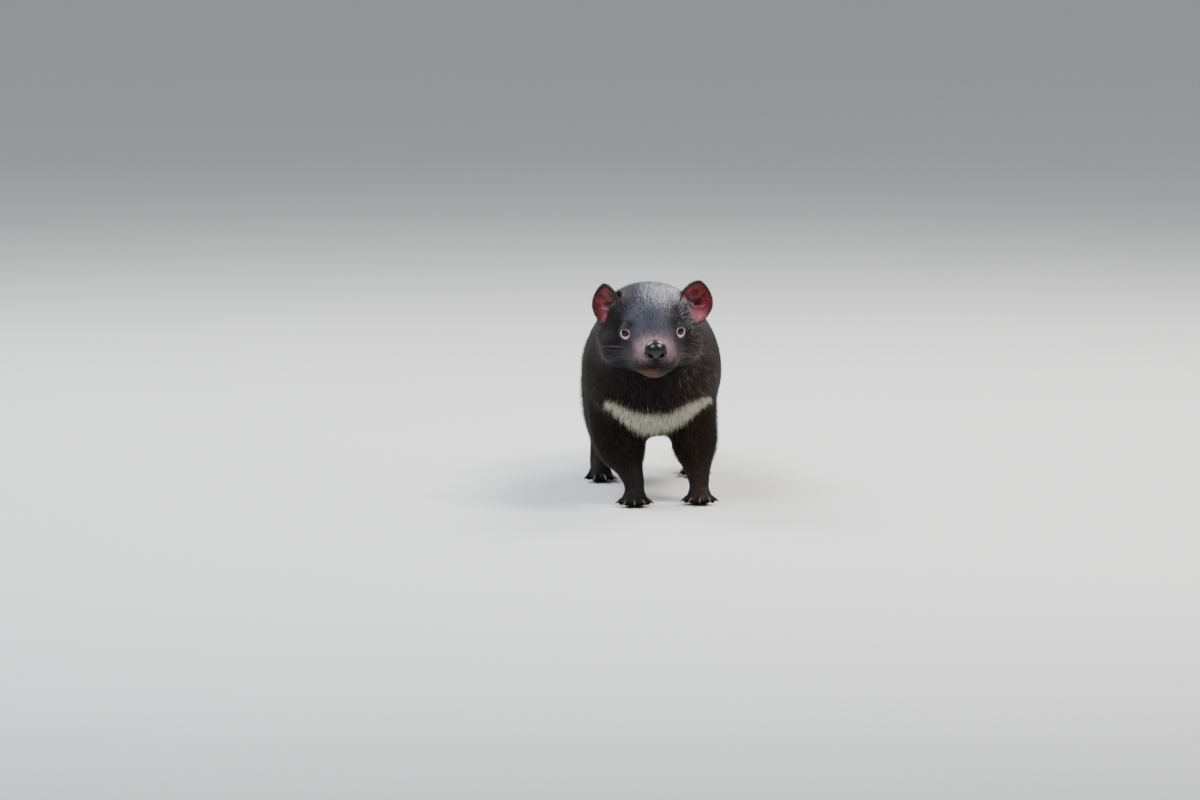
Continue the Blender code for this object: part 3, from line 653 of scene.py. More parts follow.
class DEVIL_OT_skin(bpy.types.Operator):
    """One closed skin under the coat, with the folds of the face"""
    bl_idname = "devil.skin"
    bl_label = "Skin"

    def execute(self, context):
        piece = skin_mesh()
        refine_face(piece)
        fold_face(piece)
        mesh = piece.data
        clear_ears(mesh)
        shape_paws(mesh)
        points = points_of(mesh)
        marks = face_shares(points)
        set_values(mesh, "band", band_share(points, speckle(points, 0.004)))
        for name in ("muzzle", "chin", "slate", "silver", "brown", "brow"):
            set_values(mesh, name, marks[name])
        tree = BVHTree.FromObject(piece, context.evaluated_depsgraph_get())
        # Dark lips along the mouth, partly painted shade in the mouth's line
        set_values(mesh, "lips", 1 - ease(0.0010, 0.0030, nearest_on(mouth_route(tree), points)))
        set_values(mesh, "sole", ease(0.004, 0.0015, points[:, 2]))
        dress(piece, skin_material(), "fur", *FLESH)
        return {"FINISHED"}


def skin_material():
    shader = Shader("skin_with_short_hair")
    tones = colours()
    mottle = shader.noise(240, 4)
    dots = shader.noise(1100, 3, 0.7)
    base = shader.mix(mottle, tones.skin, [0.6 * part for part in tones.skin])
    base = shader.mix(shader.attribute("brown") * mottle * 0.5, base, tones.coat_brown)
    # Painted sky reflection on the forehead's skin
    base = shader.mix(shader.attribute("slate") * shader.span(dots, 0.3, 0.6, 0.25, 0.8), base, tones.coat_sky_sheen)
    # Painted sunlit glints on the crown's skin
    base = shader.mix(shader.attribute("silver") * shader.span(dots, 0.52, 0.66) * 0.5, base, tones.coat_glint_and_pale_hair)
    # Dark brow, partly painted shade under the brow
    base = shader.mix(shader.attribute("brow"), base, tones.coat_root)
    pink = shader.mix(shader.span(mottle, 0.35, 0.68), [0.50 * part for part in tones.muzzle], tones.muzzle)
    pink = shader.mix(shader.span(dots, 0.56, 0.68) * 0.75, pink, [0.12 * part for part in tones.muzzle])
    pink = shader.mix(shader.span(dots, 0.42, 0.30) * 0.5, pink, [1.7 * part for part in tones.muzzle])
    base = shader.mix(shader.attribute("chin") * 0.6, base, tones.coat_brown)
    base = shader.mix((shader.attribute("muzzle") * 1.25 - mottle * 0.25).clamped(), base, pink)
    base = shader.mix(shader.attribute("band"), base, [0.50 * part for part in tones.band])
    # Dark lips, partly painted shade in the mouth's line
    base = shader.mix(shader.attribute("lips"), base, tones.lip)
    base = shader.mix(shader.attribute("sole"), base, tones.pad)
    height = shader.noise(900, 4, 0.7) * 0.5 + dots * 0.5
    made = shader.finish(
        Base_Color=base,
        Roughness=shader.span(mottle, 0.3, 0.7, 0.55, 0.72),
        Normal=shader.bump(height, 0.8, 0.0009),
    )
    shader.surface.inputs["Specular IOR Level"].default_value = 0.12
    return made


# Eyes and lids


def eye_frame(side):
    """Z looks out of the eye and Y is up. X points to the animal's left."""
    aim = EYE_AIM[side]
    up = (HEAD_TURN.to_3x3() @ Vector((0, 0, 1))).normalized()
    across = up.cross(aim).normalized()
    up = aim.cross(across).normalized()
    turn = Matrix((across, up, aim)).transposed().to_4x4()
    return Matrix.Translation(EYES[side]) @ turn


def in_eye(side, points):
    back = np.array(eye_frame(side).inverted())
    return points @ back[:3, :3].T + back[:3, 3]


def rim_reach(side, x, y):
    """How far out the bare rim goes in a direction from the eye: it is widest towards the nose and below."""
    middle_x, middle_y, wide, high = -SIDES[side] * 0.0014, -0.0014, 0.0082, 0.0070
    a = (x / wide) ** 2 + (y / high) ** 2
    b = -2 * (x * middle_x / wide**2 + y * middle_y / high**2)
    c = (middle_x / wide) ** 2 + (middle_y / high) ** 2 - 1
    return (-b + (b * b - 4 * a * c) ** 0.5) / (2 * a)


class DEVIL_OT_eyes(bpy.types.Operator):
    """Two dark glossy eyes, each with a ring of pale pink lid"""
    bl_idname = "devil.eyes"
    bl_label = "Eyes"

    def execute(self, context):
        ball, rim = eye_material(), lid_material()
        tree = BVHTree.FromObject(bpy.data.objects["skin"], context.evaluated_depsgraph_get())
        for side, sign in SIDES.items():
            shape = bmesh.new()
            bmesh.ops.create_uvsphere(shape, u_segments=48, v_segments=32, radius=EYE_RADIUS)
            for vert in shape.verts:
                bulge = max(0, vert.co.z / EYE_RADIUS - 0.80)
                vert.co *= 1 + 0.18 * bulge
            mesh_frame = eye_frame(side)
            fronts = [max(0, vert.co.z / EYE_RADIUS) for vert in shape.verts]
            offs = [vert.co.xy.length for vert in shape.verts]
            shape.transform(mesh_frame)
            piece = object_from("eyeball_" + side, shape)
            set_values(piece.data, "front", fronts)
            set_values(piece.data, "off_axis", [off * 1000 for off in offs])
            dress(piece, ball, "eye", "eye_" + side)
            lids = dress(lid_ring(side, sign, tree), rim, "ear_skin")
            tuck_skin(bpy.data.objects["skin"].data, side, lids)
        return {"FINISHED"}


def lid_ring(side, sign, tree):
    """The rim of the lids: it rests on the eyeball, rolls over and runs out along the skin under the hair."""
    wide, high = sizes().eye_opening
    around = 96
    profile = (
        (-0.12, -0.0016, 0), (-0.03, -0.0002, 0), (0.00, 0.0002, 0), (0.03, 0.0007, 0), (0.08, 0.0010, 0),
        (0.15, 0.0011, 0.0002), (0.24, 0.0010, 0.0004), (0.34, 0.0008, 0.0005), (0.45, 0.0006, 0.0005),
        (0.57, 0.0004, 0.0005), (0.70, 0.0002, 0.0004), (0.82, 0, 0.0003), (0.93, 0, 0.0001), (1.06, 0, -0.0009),
    )
    there = eye_frame(side)
    back = there.inverted()
    aim = EYE_AIM[side]
    shape = bmesh.new()
    rings, blush, out, high_up = [], [], [], []
    for share, over_ball, over_skin in profile:
        ring = []
        for i in range(around):
            angle = 2 * math.pi * i / around
            direction = Vector((math.cos(angle), math.sin(angle)))
            corner = (0.5 - 0.5 * sign * direction.x) ** 8
            edge = Vector((direction.x * wide * (1 + 0.35 * corner), direction.y * high - 0.0006 * corner))
            flat = edge + direction * share * (rim_reach(side, direction.x, direction.y) - edge.length)
            dome = math.sqrt(max(0, EYE_RADIUS**2 - min(flat.length, EYE_RADIUS) ** 2))
            hit = tree.ray_cast(there @ Vector((flat.x, flat.y, 0.030)), -aim)[0]
            skin = (back @ hit).z if hit else dome
            rest = ease_number(0.10, 0.50, share)
            height = (dome + over_ball) * (1 - rest) + max(dome + over_ball, skin + over_skin) * rest
            if share > 0.9:
                height = skin + over_skin
            pucker = 0.00020 * math.sin(angle * 23 + 3 * math.sin(angle * 3)) * ease_number(0.1, 0.4, share)
            ring.append((flat.x, flat.y, height + pucker * (1 - ease_number(0.7, 1, share))))
            blush.append(corner)
            out.append(max(0, share))
            high_up.append(max(0, direction.y))
        rings.append(ring)
    tube(shape, rings, capped=False)
    shape.transform(there)
    bmesh.ops.recalc_face_normals(shape, faces=shape.faces)
    if sum(face.normal.dot(aim) * face.calc_area() for face in shape.faces) < 0:
        bmesh.ops.reverse_faces(shape, faces=shape.faces)
    piece = object_from("lids_" + side, shape)
    set_values(piece.data, "corner", blush)
    set_values(piece.data, "outward", out)
    # Share of the lid's upper side, which carries painted shade
    set_values(piece.data, "upper", high_up)
    return piece


def tuck_skin(skin, side, lids):
    """Sinks the skin under the lids and behind the eyeball, where the opening is."""
    tree = BVHTree.FromObject(lids, bpy.context.evaluated_depsgraph_get())
    points = points_of(skin)
    local = in_eye(side, points)
    there, aim = eye_frame(side), EYE_AIM[side]
    off = np.linalg.norm(local[:, :2], axis=1)
    for i in np.flatnonzero((off < 0.013) & (local[:, 2] > 0) & (local[:, 2] < 0.016)):
        x, y = local[i, :2] / max(off[i], 1e-9)
        share = off[i] / rim_reach(side, x, y)
        hit = tree.ray_cast(there @ Vector((local[i, 0], local[i, 1], 0.030)), -aim)[0]
        limit = (there.inverted() @ hit).z - 0.0008 if hit else 0.0040
        drop = min(0, limit - local[i, 2]) * (1 - ease_number(0.86, 1.0, share))
        points[i] += drop * np.array(aim)
    set_points(skin, points)


def eye_material():
    shader = Shader("dark_eye")
    tones = colours()
    off = shader.attribute("off_axis")
    rays = shader.noise(700, 3)
    iris = shader.mix(shader.span(rays, 0.35, 0.65), [0.4 * part for part in tones.iris], tones.iris)
    white = shader.mix(shader.noise(400, 2), (0.10, 0.045, 0.035), (0.16, 0.085, 0.065))
    base = shader.mix(shader.span(off, 2.3, 2.8), (0.0012, 0.0010, 0.0010), iris)
    base = shader.mix(shader.span(off, 5.0, 5.6), base, white)
    made = shader.finish(Base_Color=base, Roughness=0.05)
    shader.surface.inputs["Specular IOR Level"].default_value = 0.28
    return made


def lid_material():
    shader = Shader("pink_lid_skin")
    tones = colours()
    out = shader.attribute("outward")
    grain = shader.noise(1500, 3)
    blotch = shader.noise(420, 3)
    pale = shader.mix(shader.span(grain, 0.3, 0.7), [0.62 * part for part in tones.lid], tones.lid)
    pale = shader.mix(shader.attribute("corner") * 0.9, pale, tones.canthus)
    # Painted shade: the upper part of the lid ring is darkened towards the skin's colour, under the brow
    pale = shader.mix(shader.span(shader.attribute("upper"), 0.25, 0.85, 0, 0.86), pale, tones.skin)
    pale = shader.mix(shader.span(out, 0.10, 0.0), pale, [0.22 * part for part in tones.canthus])
    base = shader.mix(shader.span(out + blotch * 0.55, 0.82, 1.18), pale, tones.skin)
    made = shader.finish(Base_Color=base, Roughness=0.42, Normal=shader.bump(grain, 0.5, 0.0003))
    shader.surface.inputs["Subsurface Weight"].default_value = 0.10
    shader.surface.inputs["Subsurface Scale"].default_value = 0.002
    return made


# Nose


class DEVIL_OT_nose(bpy.types.Operator):
    """Bare black nose with open nostrils and a cleft, set into the muzzle"""
    bl_idname = "devil.nose"
    bl_label = "Nose"

    def execute(self, context):
        shape = bmesh.new()
        for place, radii in (
            (NOSE, NOSE_RADII), ((0.0076, NOSE.y - 0.0042, NOSE.z - 0.0036), (0.0066, 0.0072, 0.0064)),
            ((-0.0076, NOSE.y - 0.0042, NOSE.z - 0.0036), (0.0066, 0.0072, 0.0064)),
        ):
            matrix = HEAD @ Matrix.Translation(place) @ Matrix.Diagonal((*radii, 1))
            bmesh.ops.create_icosphere(shape, subdivisions=4, radius=1, matrix=matrix)
        piece = object_from("nose_pad", shape)
        fuse = piece.modifiers.new("fuse", "REMESH")
        fuse.mode = "VOXEL"
        fuse.voxel_size = 0.00042
        apply_modifiers(piece)
        relax(piece.data, 12)
        points = points_of(piece.data)
        local = in_head(points)
        front = local[:, 1] < NOSE.y - 0.003
        cleft = np.exp(-(local[:, 0] / 0.0010) ** 2) * ease(NOSE.z + 0.001, NOSE.z - 0.005, local[:, 2]) * front
        local[:, 1] += 0.0013 * cleft
        pits = np.zeros(len(points))
        for sign in SIDES.values():
            x, z = sign * local[:, 0] - NOSTRIL.x, local[:, 2] - NOSTRIL.z
            along, across = x * 0.86 + z * 0.50 + 0.45 * np.abs(z), z * 0.86 - x * 0.50
            pits = np.maximum(pits, (1 - ease(0.55, 1.15, np.hypot(along / 0.0034, across / 0.0019))) * front)
        local[:, 1] += 0.0045 * pits
        set_points(piece.data, out_of_head(local))
        set_values(piece.data, "pit", pits)
        dress(piece, nose_material(), "nose_skin", "nose")
        return {"FINISHED"}


def nose_material():
    shader = Shader("moist_nose")
    tones = colours()
    pebbles = shader.node("TexVoronoi", {"feature": "SMOOTH_F1"}, "Distance", Vector=shader.place(), Scale=1250)
    grain = shader.noise(2400, 2)
    base = shader.mix(shader.span(pebbles, 0.1, 0.7), tones.nose, [2.0 * part for part in tones.nose])
    # Painted shade: the nostril pits are painted near black
    base = shader.mix(shader.attribute("pit"), base, (0.0006, 0.0005, 0.0005))
    made = shader.finish(
        Base_Color=base,
        Roughness=shader.span(grain, 0.3, 0.7, 0.19, 0.31) + shader.attribute("pit") * 0.5,
        Normal=shader.bump(pebbles * -1.0, 0.32, 0.0004),
    )
    shader.surface.inputs["Specular IOR Level"].default_value = 0.38
    return made


# Ears


def ear_relief(outward, z):
    """How far the folds inside the ear stand forward, the share of painted shade in its pit and hollow (lighter on ribs
    and tragus), and the share of its pale foot, with painted highlight on the raised tragus and ridge.
    """
    tragus = math.exp(-((outward + 0.0040) / 0.0042) ** 2 - ((z + 0.0045) / 0.0052) ** 2)
    run = min(1, max(0, (outward + 0.002) / 0.016))
    ridge = math.exp(-((z + 0.0066 - 0.0042 * run) / 0.0018) ** 2) * ease_number(-0.006, 0.001, outward)
    ridge *= 1 - ease_number(0.011, 0.017, outward)
    pit = math.exp(-((outward - 0.0070) / 0.0040) ** 2 - ((z - 0.0012) / 0.0036) ** 2)
    hollow = math.exp(-((outward - 0.0010) / 0.0085) ** 2 - ((z - 0.0115) / 0.0066) ** 2)
    away = math.hypot(outward - 0.003, z + 0.002)
    ribs = math.cos(9 * math.atan2(z + 0.002, outward - 0.003)) * ease_number(0.007, 0.013, away)
    ribs *= (1 - ease_number(0.018, 0.024, away)) * ease_number(-0.004, 0.004, z)
    pale = math.exp(-((outward - 0.0075) / 0.0100) ** 2 - ((z + 0.0135) / 0.0072) ** 2)
    forward = 0.0056 * tragus + 0.0026 * ridge - 0.0034 * pit - 0.0016 * hollow + 0.0008 * ribs
    # Painted shade: darker in the pit and hollow, lighter on the raised ribs and tragus
    dark = 1.15 * pit + 0.75 * hollow - 0.30 * ribs - 0.2 * tragus
    # Pale foot of the ear, with painted highlight on the raised tragus and ridge
    return forward, min(1, max(0, dark)), max(pale, 0.55 * tragus, 0.7 * ridge)


def ear_point(share, angle, sign, inner):
    """A point on the ear's cup. Share runs from the middle of the hollow to the rim."""
    high = math.sin(angle)
    pinch = 1 - 0.20 * max(0, high) ** 2 - 0.16 * max(0, -high)
    x = EAR_HALF_WIDTH * share * math.cos(angle) * pinch
    y = EAR_DEPTH * math.sqrt(max(0, 1 - share**2)) - 0.003 * share**2 * math.cos(angle) ** 2
    z = EAR_HALF_HEIGHT * share * high
    forward = ear_relief(sign * x, z)[0] * (1 - ease_number(0.90, 1.0, share))
    return Vector((x, y - (forward if inner else min(0, forward)), z))


def ease_number(low, high, value):
    share = min(1, max(0, (value - low) / (high - low)))
    return share * share * (3 - 2 * share)


def ear_mesh(side, sign):
    """Inner and outer wall of the cup, joined over a rounded rim."""
    rings, spokes = EAR_FINE["rings"], EAR_FINE["spokes"]
    shape = bmesh.new()
    there = ear_frame(side, sign)
    loops = []
    values = {"depth": [], "back": [], "height": [], "hollow": [], "pale": [], "front_edge": []}
    half = EAR_THICKNESS / 2
    for wall in (True, False):
        for i in range(1, rings + 1) if wall else range(rings, 0, -1):
            share = i / rings
            row = []
            for k in range(spokes):
                angle = 2 * math.pi * k / spokes
                point = ear_point(share, angle, sign, wall)
                shift = half * (1 - 0.45 * share)
                outward = Vector((math.cos(angle), 0, math.sin(angle)))
                lean = Vector((0, -1, 0)) * math.sqrt(max(0, 1 - 0.75 * share**2)) - outward * 0.85 * share**2
                offset = lean.normalized() * (shift if wall else -shift)
                if i == rings:
                    offset *= 0.55
                row.append(there @ (point + offset))
                _, hollow, pale = ear_relief(sign * point.x, point.z)
                values["depth"].append(1 - share)
                values["back"].append(0.0 if wall else 1.0)
                values["height"].append(point.z / EAR_HALF_HEIGHT)
                # Painted shade: the animal's right ear is darker, and its pale fold dimmer, than the left
                values["hollow"].append(hollow - 0.12 * sign)
                values["pale"].append(pale * (1.0 if sign > 0 else 0.45))
                values["front_edge"].append(max(0, math.cos(angle - math.pi / 2 - sign * 0.7)))
            loops.append(row)
    tube(shape, loops)
    bmesh.ops.recalc_face_normals(shape, faces=shape.faces)
    piece = object_from("ear_cup_" + side, shape)
    for name, numbers in values.items():
        set_values(piece.data, name, numbers)
    return piece


class DEVIL_OT_ears(bpy.types.Operator):
    """Two thin cupped ears with folds inside"""
    bl_idname = "devil.ears"
    bl_label = "Ears"

    def execute(self, context):
        material = ear_material()
        for side, sign in SIDES.items():
            dress(ear_mesh(side, sign), material, "ear_skin", "ear_" + side)
        return {"FINISHED"}


def ear_material():
    shader = Shader("ear_skin")
    tones = colours()
    depth = shader.attribute("depth")
    blotch = shader.noise(190, 5, 0.65)
    grain = shader.noise(1300, 3)
    fleck = shader.noise(520, 4, 0.7)
    base = shader.mix(shader.span(blotch, 0.40, 0.60), [0.42 * part for part in tones.ear_rim], tones.ear_rim)
    # Painted shade in the ear's hollows and towards the deep middle of the cup
    dark = (shader.attribute("hollow") * 0.95 + shader.span(depth, 0.55, 0.95) * 0.3 + blotch * 0.5 - 0.25).clamped()
    base = shader.mix(dark, base, tones.ear_shade_and_mottle)
    pale = (shader.attribute("pale") * 1.2 + fleck * 0.9 - 0.55).clamped()
    base = shader.mix(pale, base, tones.ear_pale)
    base = shader.mix(shader.span(fleck, 0.58, 0.70) * 0.55, base, tones.ear_pale)
    base = shader.mix(shader.span(fleck, 0.44, 0.34) * 0.6, base, tones.ear_shade_and_mottle)
    rim = shader.span(depth + blotch * 0.10 - shader.attribute("front_edge") * 0.07, 0.12, 0.04)
    base = shader.mix(rim * 0.92, base, tones.skin)
    base = shader.mix(shader.attribute("back"), base, tones.skin)
    made = shader.finish(
        Base_Color=base, Roughness=rim * 0.4 + 0.44, Normal=shader.bump(blotch * 0.5 + grain * 0.5, 0.6, 0.0007)
    )
    shader.surface.inputs["Subsurface Weight"].default_value = 0.08
    shader.surface.inputs["Subsurface Scale"].default_value = 0.003
    return made


# Claws


def toe_rows(name):
    """Root and tip of each toe of a paw, from the named places of the feet."""
    fore, side = name.startswith("fore"), name.split("_")[1]
    sign = SIDES[side]
    paw = PAW_SPOTS[name]
    count, splay = (5, math.radians(33)) if fore else (4, math.radians(25))
    rows = []
    for i in range(count):
        share = i / (count - 1) * 2 - 1
        angle = share * splay
        reach = 0.027 - 0.006 * abs(share) ** 2
        root = paw + Vector((sign * share * 0.0088, -0.004 + 0.004 * abs(share), 0.0105))
        tip = root + Vector((sign * math.sin(angle), -math.cos(angle), 0)) * (reach - 0.006)
        tip.z = 0.0068
        rows.append((root, tip))
    return rows


class DEVIL_OT_claws(bpy.types.Operator):
    """Long blunt claws of dark horn, four or five to a paw"""
    bl_idname = "devil.claws"
    bl_label = "Claws"

    def execute(self, context):
        material = claw_material()
        for name in PAW_SPOTS:
            shape = bmesh.new()
            shares = []
            for root, tip in toe_rows(name):
                ahead = tip - root
                ahead.z = 0
                ahead.normalize()
                side = ahead.cross(Vector((0, 0, 1)))
                steps, points = 12, 12
                rings = []
                for i in range(steps + 1):
                    share = i / steps
                    drop = 0.0040 * share**2 - 0.0014 * share
                    centre = tip - ahead * 0.002 + ahead * (sizes().claw_length + 0.005) * share
                    centre += Vector((0, 0, 0.0014 - drop))
                    radius = 0.0023 * (1 - share) ** 0.5 + 0.0002
                    ring = []
                    for k in range(points):
                        angle = 2 * math.pi * k / points
                        high = math.sin(angle) * radius * (1.15 if math.sin(angle) > 0 else 0.8)
                        ring.append(centre + side * math.cos(angle) * radius * 0.72 + Vector((0, 0, high)))
                        shares.append(share)
                    rings.append(ring)
                tube(shape, rings)
            bmesh.ops.recalc_face_normals(shape, faces=shape.faces)
            piece = object_from("claws_" + name, shape)
            set_values(piece.data, "share", shares)
            dress(piece, material, "paw")
        return {"FINISHED"}


def claw_material():
    shader = Shader("dark_horn")
    tones = colours()
    share = shader.attribute("share")
    grain = shader.noise(900, 4)
    base = shader.mix(shader.span(share + grain * 0.3, 0.3, 1.1), tones.claw, [2.6 * part for part in tones.claw])
    return shader.finish(
        Base_Color=base,
        Roughness=shader.span(grain, 0.3, 0.7, 0.28, 0.45),
        Normal=shader.bump(grain, 0.25, 0.0003),
    )


# Coat


def comb_places():
    """Places on the body with the way that the hair lies there."""
    head = HEAD_TURN.to_3x3()
    combs = []
    for place, lie, reach in (
        ((0, -0.050, 0.000), (0, 1, 0.35), 0.014), ((0, -0.020, 0.018), (0, 1, 0.5), 0.018),
        ((0, 0.015, 0.032), (0, 1, 0.3), 0.024), ((0, 0.055, 0.042), (0, 1, 0.0), 0.030),
        ((0, -0.030, -0.050), (0, 1, -0.2), 0.016), ((0, 0.010, -0.055), (0, 1, -0.2), 0.025),
    ):
        combs.append((HEAD @ Vector(place), head @ Vector(lie), reach))
    for sign in SIDES.values():
        for place, lie, reach in (
            ((0.014, -0.050, -0.014), (0.9, 1, 0.0), 0.010), ((0.022, -0.038, -0.014), (0.6, 1, -0.10), 0.014),
            ((0.018, -0.040, -0.030), (0.5, 1, -0.7), 0.012), ((0.030, -0.010, -0.016), (0.5, 1, -0.35), 0.018),
            ((0.020, -0.010, 0.012), (0.25, 1, 0.6), 0.014), ((0.040, 0.010, 0.010), (0.5, 1, 0.3), 0.016),
            ((0.044, 0.015, -0.020), (0.5, 1, -0.45), 0.022), ((0.060, 0.040, -0.020), (0.1, 1, -0.7), 0.026),
            ((0.048, 0.030, 0.020), (0.5, 1, 0.1), 0.016), ((0.030, 0.020, -0.050), (0.2, 1, -0.5), 0.024),
            ((0.030, 0.040, 0.040), (0.3, 1, 0.1), 0.018),
        ):
            combs.append((
                HEAD @ Vector((sign * place[0], place[1], place[2])),
                head @ Vector((sign * lie[0], lie[1], lie[2])), reach,
            ))
        for place, lie, reach in (
            ((0.030, -0.250, 0.140), (0.15, 0.2, -1), 0.030), ((0.075, -0.230, 0.170), (0.1, 0.7, -0.8), 0.035),
            ((0.030, -0.255, 0.100), (0.10, 0.1, -1), 0.030), ((0.060, -0.180, 0.230), (0.1, 1, -0.2), 0.040),
            ((0.085, -0.180, 0.150), (0, 0.6, -0.9), 0.040), ((0.080, -0.190, 0.100), (0, 0.25, -1), 0.030),
            ((0.060, -0.200, 0.060), (0, 0.15, -1), 0.026), ((0.070, -0.080, 0.220), (0.1, 1, -0.3), 0.055),
            ((0.090, -0.060, 0.150), (0, 1, -0.5), 0.060), ((0.050, -0.060, 0.085), (0, 1, -0.25), 0.045),
            ((0.085, 0.060, 0.150), (0, 0.8, -0.8), 0.045), ((0.070, 0.040, 0.100), (0, 0.5, -1), 0.030),
            ((0.060, 0.090, 0.060), (0, 0.25, -1), 0.028), ((0.050, 0.140, 0.190), (0, 1, -0.7), 0.040),
            ((0.050, 0.150, 0.130), (-0.2, 0.4, -1), 0.035),
        ):
            combs.append((Vector((sign * place[0], place[1], place[2])), Vector((sign * lie[0], lie[1], lie[2])), reach))
    for place, lie, reach in (
        ((0, -0.255, 0.130), (0, 0.1, -1), 0.030), ((0, -0.100, 0.250), (0, 1, -0.05), 0.070),
        ((0, 0.050, 0.240), (0, 1, -0.2), 0.060), ((0, -0.060, 0.080), (0, 1, 0), 0.050),
        ((0, 0.150, 0.180), (0, 1, -0.6), 0.035), ((0, 0.200, 0.140), (0, 1, -0.50), 0.050),
        ((0, 0.270, 0.100), (0, 1, -0.45), 0.050), ((0, 0.340, 0.080), (0, 1, -0.15), 0.040),
    ):
        combs.append((Vector(place), Vector(lie), reach))
    for name, spot in PAW_SPOTS.items():
        combs.append((spot + Vector((0, -0.012, 0.016)), Vector((0, -1, -0.35)), 0.014))
        combs.append((spot + Vector((0, 0.012, 0.036)), Vector((0, -0.3, -1)), 0.014))
        if name.startswith("hind"):
            combs.append((spot + Vector((0, 0.034, 0.030)), Vector((0, -1, -0.7)), 0.018))
            combs.append((spot + Vector((0, 0.064, 0.040)), Vector((0, 0.1, -1)), 0.014))
    return combs


def lie_of(points, normals):
    """The way the hair lies at each point, along the skin."""
    total = np.zeros_like(points)
    for place, lie, reach in comb_places():
        near = np.exp(-((points - np.array(place)) ** 2).sum(1) / (2 * reach**2)) + 1e-9
        total += near[:, None] * np.array(lie.normalized())
    total -= (total * normals).sum(1)[:, None] * normals
    return total / np.maximum(np.linalg.norm(total, axis=1), 1e-9)[:, None]


class SkinFaces:
    """The skin's triangles, each with the CAD node that it covers."""

    def __init__(self, mesh):
        mesh.calc_loop_triangles()
        count = len(mesh.loop_triangles)
        corners = np.empty(count * 3, np.int32)
        mesh.loop_triangles.foreach_get("vertices", corners)
        self.corners = corners.reshape(-1, 3)
        self.points = points_of(mesh)
        self.normals = normals_of(mesh)
        a, b, c = (self.points[self.corners[:, k]] for k in range(3))
        self.area = np.linalg.norm(np.cross(b - a, c - a), axis=1) / 2
        self.centre = (a + b + c) / 3
        tree = KDTree(sum(len(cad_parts[name].data.polygons) for name in FLESH))
        owners = []
        for i, name in enumerate(FLESH):
            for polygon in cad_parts[name].data.polygons:
                tree.insert(polygon.center, len(owners))
                owners.append(i)
        tree.balance()
        owners = np.array(owners)
        near = np.array([tree.find(place)[1] for place in self.centre])
        self.node = owners[near]


def unwrap(faces, chosen):
    """An unwrap of the chosen faces' own shape: corner coordinates between 0 and 1."""
    used, index = np.unique(faces.corners[chosen], return_inverse=True)
    mesh = bpy.data.meshes.new("unwrap")
    mesh.from_pydata(faces.points[used].tolist(), [], index.reshape(-1, 3).tolist())
    piece = bpy.data.objects.new("unwrap", mesh)
    bpy.context.scene.collection.objects.link(piece)
    mesh.uv_layers.new(name="unwrap")
    bpy.ops.object.select_all(action="DESELECT")
    piece.select_set(True)
    bpy.context.view_layer.objects.active = piece
    bpy.ops.object.mode_set(mode="EDIT")
    bpy.ops.mesh.select_all(action="SELECT")
    bpy.ops.uv.smart_project(angle_limit=math.radians(70), island_margin=0.004)
    bpy.ops.object.mode_set(mode="OBJECT")
    found = np.empty(len(mesh.loops) * 2, np.float32)
    mesh.uv_layers["unwrap"].data.foreach_get("uv", found)
    bpy.data.objects.remove(piece)
    bpy.data.meshes.remove(mesh)
    return found.reshape(-1, 3, 2)


def tuft_mesh(name, roots, normals, headings, lengths, widths, lifts, root_uv, marks):
    """A mesh of thin closed three-sided tufts, each from three root points to a tip."""
    count = len(roots)
    across = np.cross(headings, normals)
    across /= np.linalg.norm(across, axis=1)[:, None]
    side, up = across * (widths / 2)[:, None], normals * (widths * 0.45)[:, None]
    start = roots - normals * np.minimum(0.0003, 0.3 * lifts)[:, None]
    rows = np.empty((count, 4, 3))
    rows[:, 0] = start - side
    rows[:, 1] = start + side
    rows[:, 2] = start + up + headings * (lengths * 0.10)[:, None]
    rows[:, 3] = roots + headings * (lengths * 0.97)[:, None] + normals * lifts[:, None]
    rows[:, :, 2] = np.maximum(rows[:, :, 2], 0.0002)
    pattern = np.array([(0, 1, 3), (1, 2, 3), (2, 0, 3), (0, 2, 1)])
    corners = (pattern[None] + 4 * np.arange(count)[:, None, None]).reshape(-1)
    mesh = bpy.data.meshes.new(name)
    mesh.vertices.add(count * 4)
    mesh.loops.add(len(corners))
    mesh.polygons.add(len(corners) // 3)
    mesh.vertices.foreach_set("co", rows.astype(np.float32).reshape(-1))
    mesh.loops.foreach_set("vertex_index", corners.astype(np.int32))
    mesh.polygons.foreach_set("loop_start", np.arange(0, len(corners), 3, dtype=np.int32))
    mesh.polygons.foreach_set("loop_total", np.full(len(corners) // 3, 3, np.int32))
    mesh.update(calc_edges=True)
    spots = np.array([(-0.5, -0.5), (0.5, -0.5), (0, -0.2), (0, 0.5)])
    uv = root_uv[:, None, :] + spots[None] * PATCH
    layer = mesh.uv_layers.new(name="OFBake")
    layer.data.foreach_set("uv", uv.reshape(-1, 2)[corners].astype(np.float32).reshape(-1))
    set_values(mesh, "along", np.tile([0, 0, 0.1, 1], count))
    for label, values in marks.items():
        set_values(mesh, label, np.repeat(values, 4))
    piece = bpy.data.objects.new(name, mesh)
    bpy.context.scene.collection.objects.link(piece)
    return piece


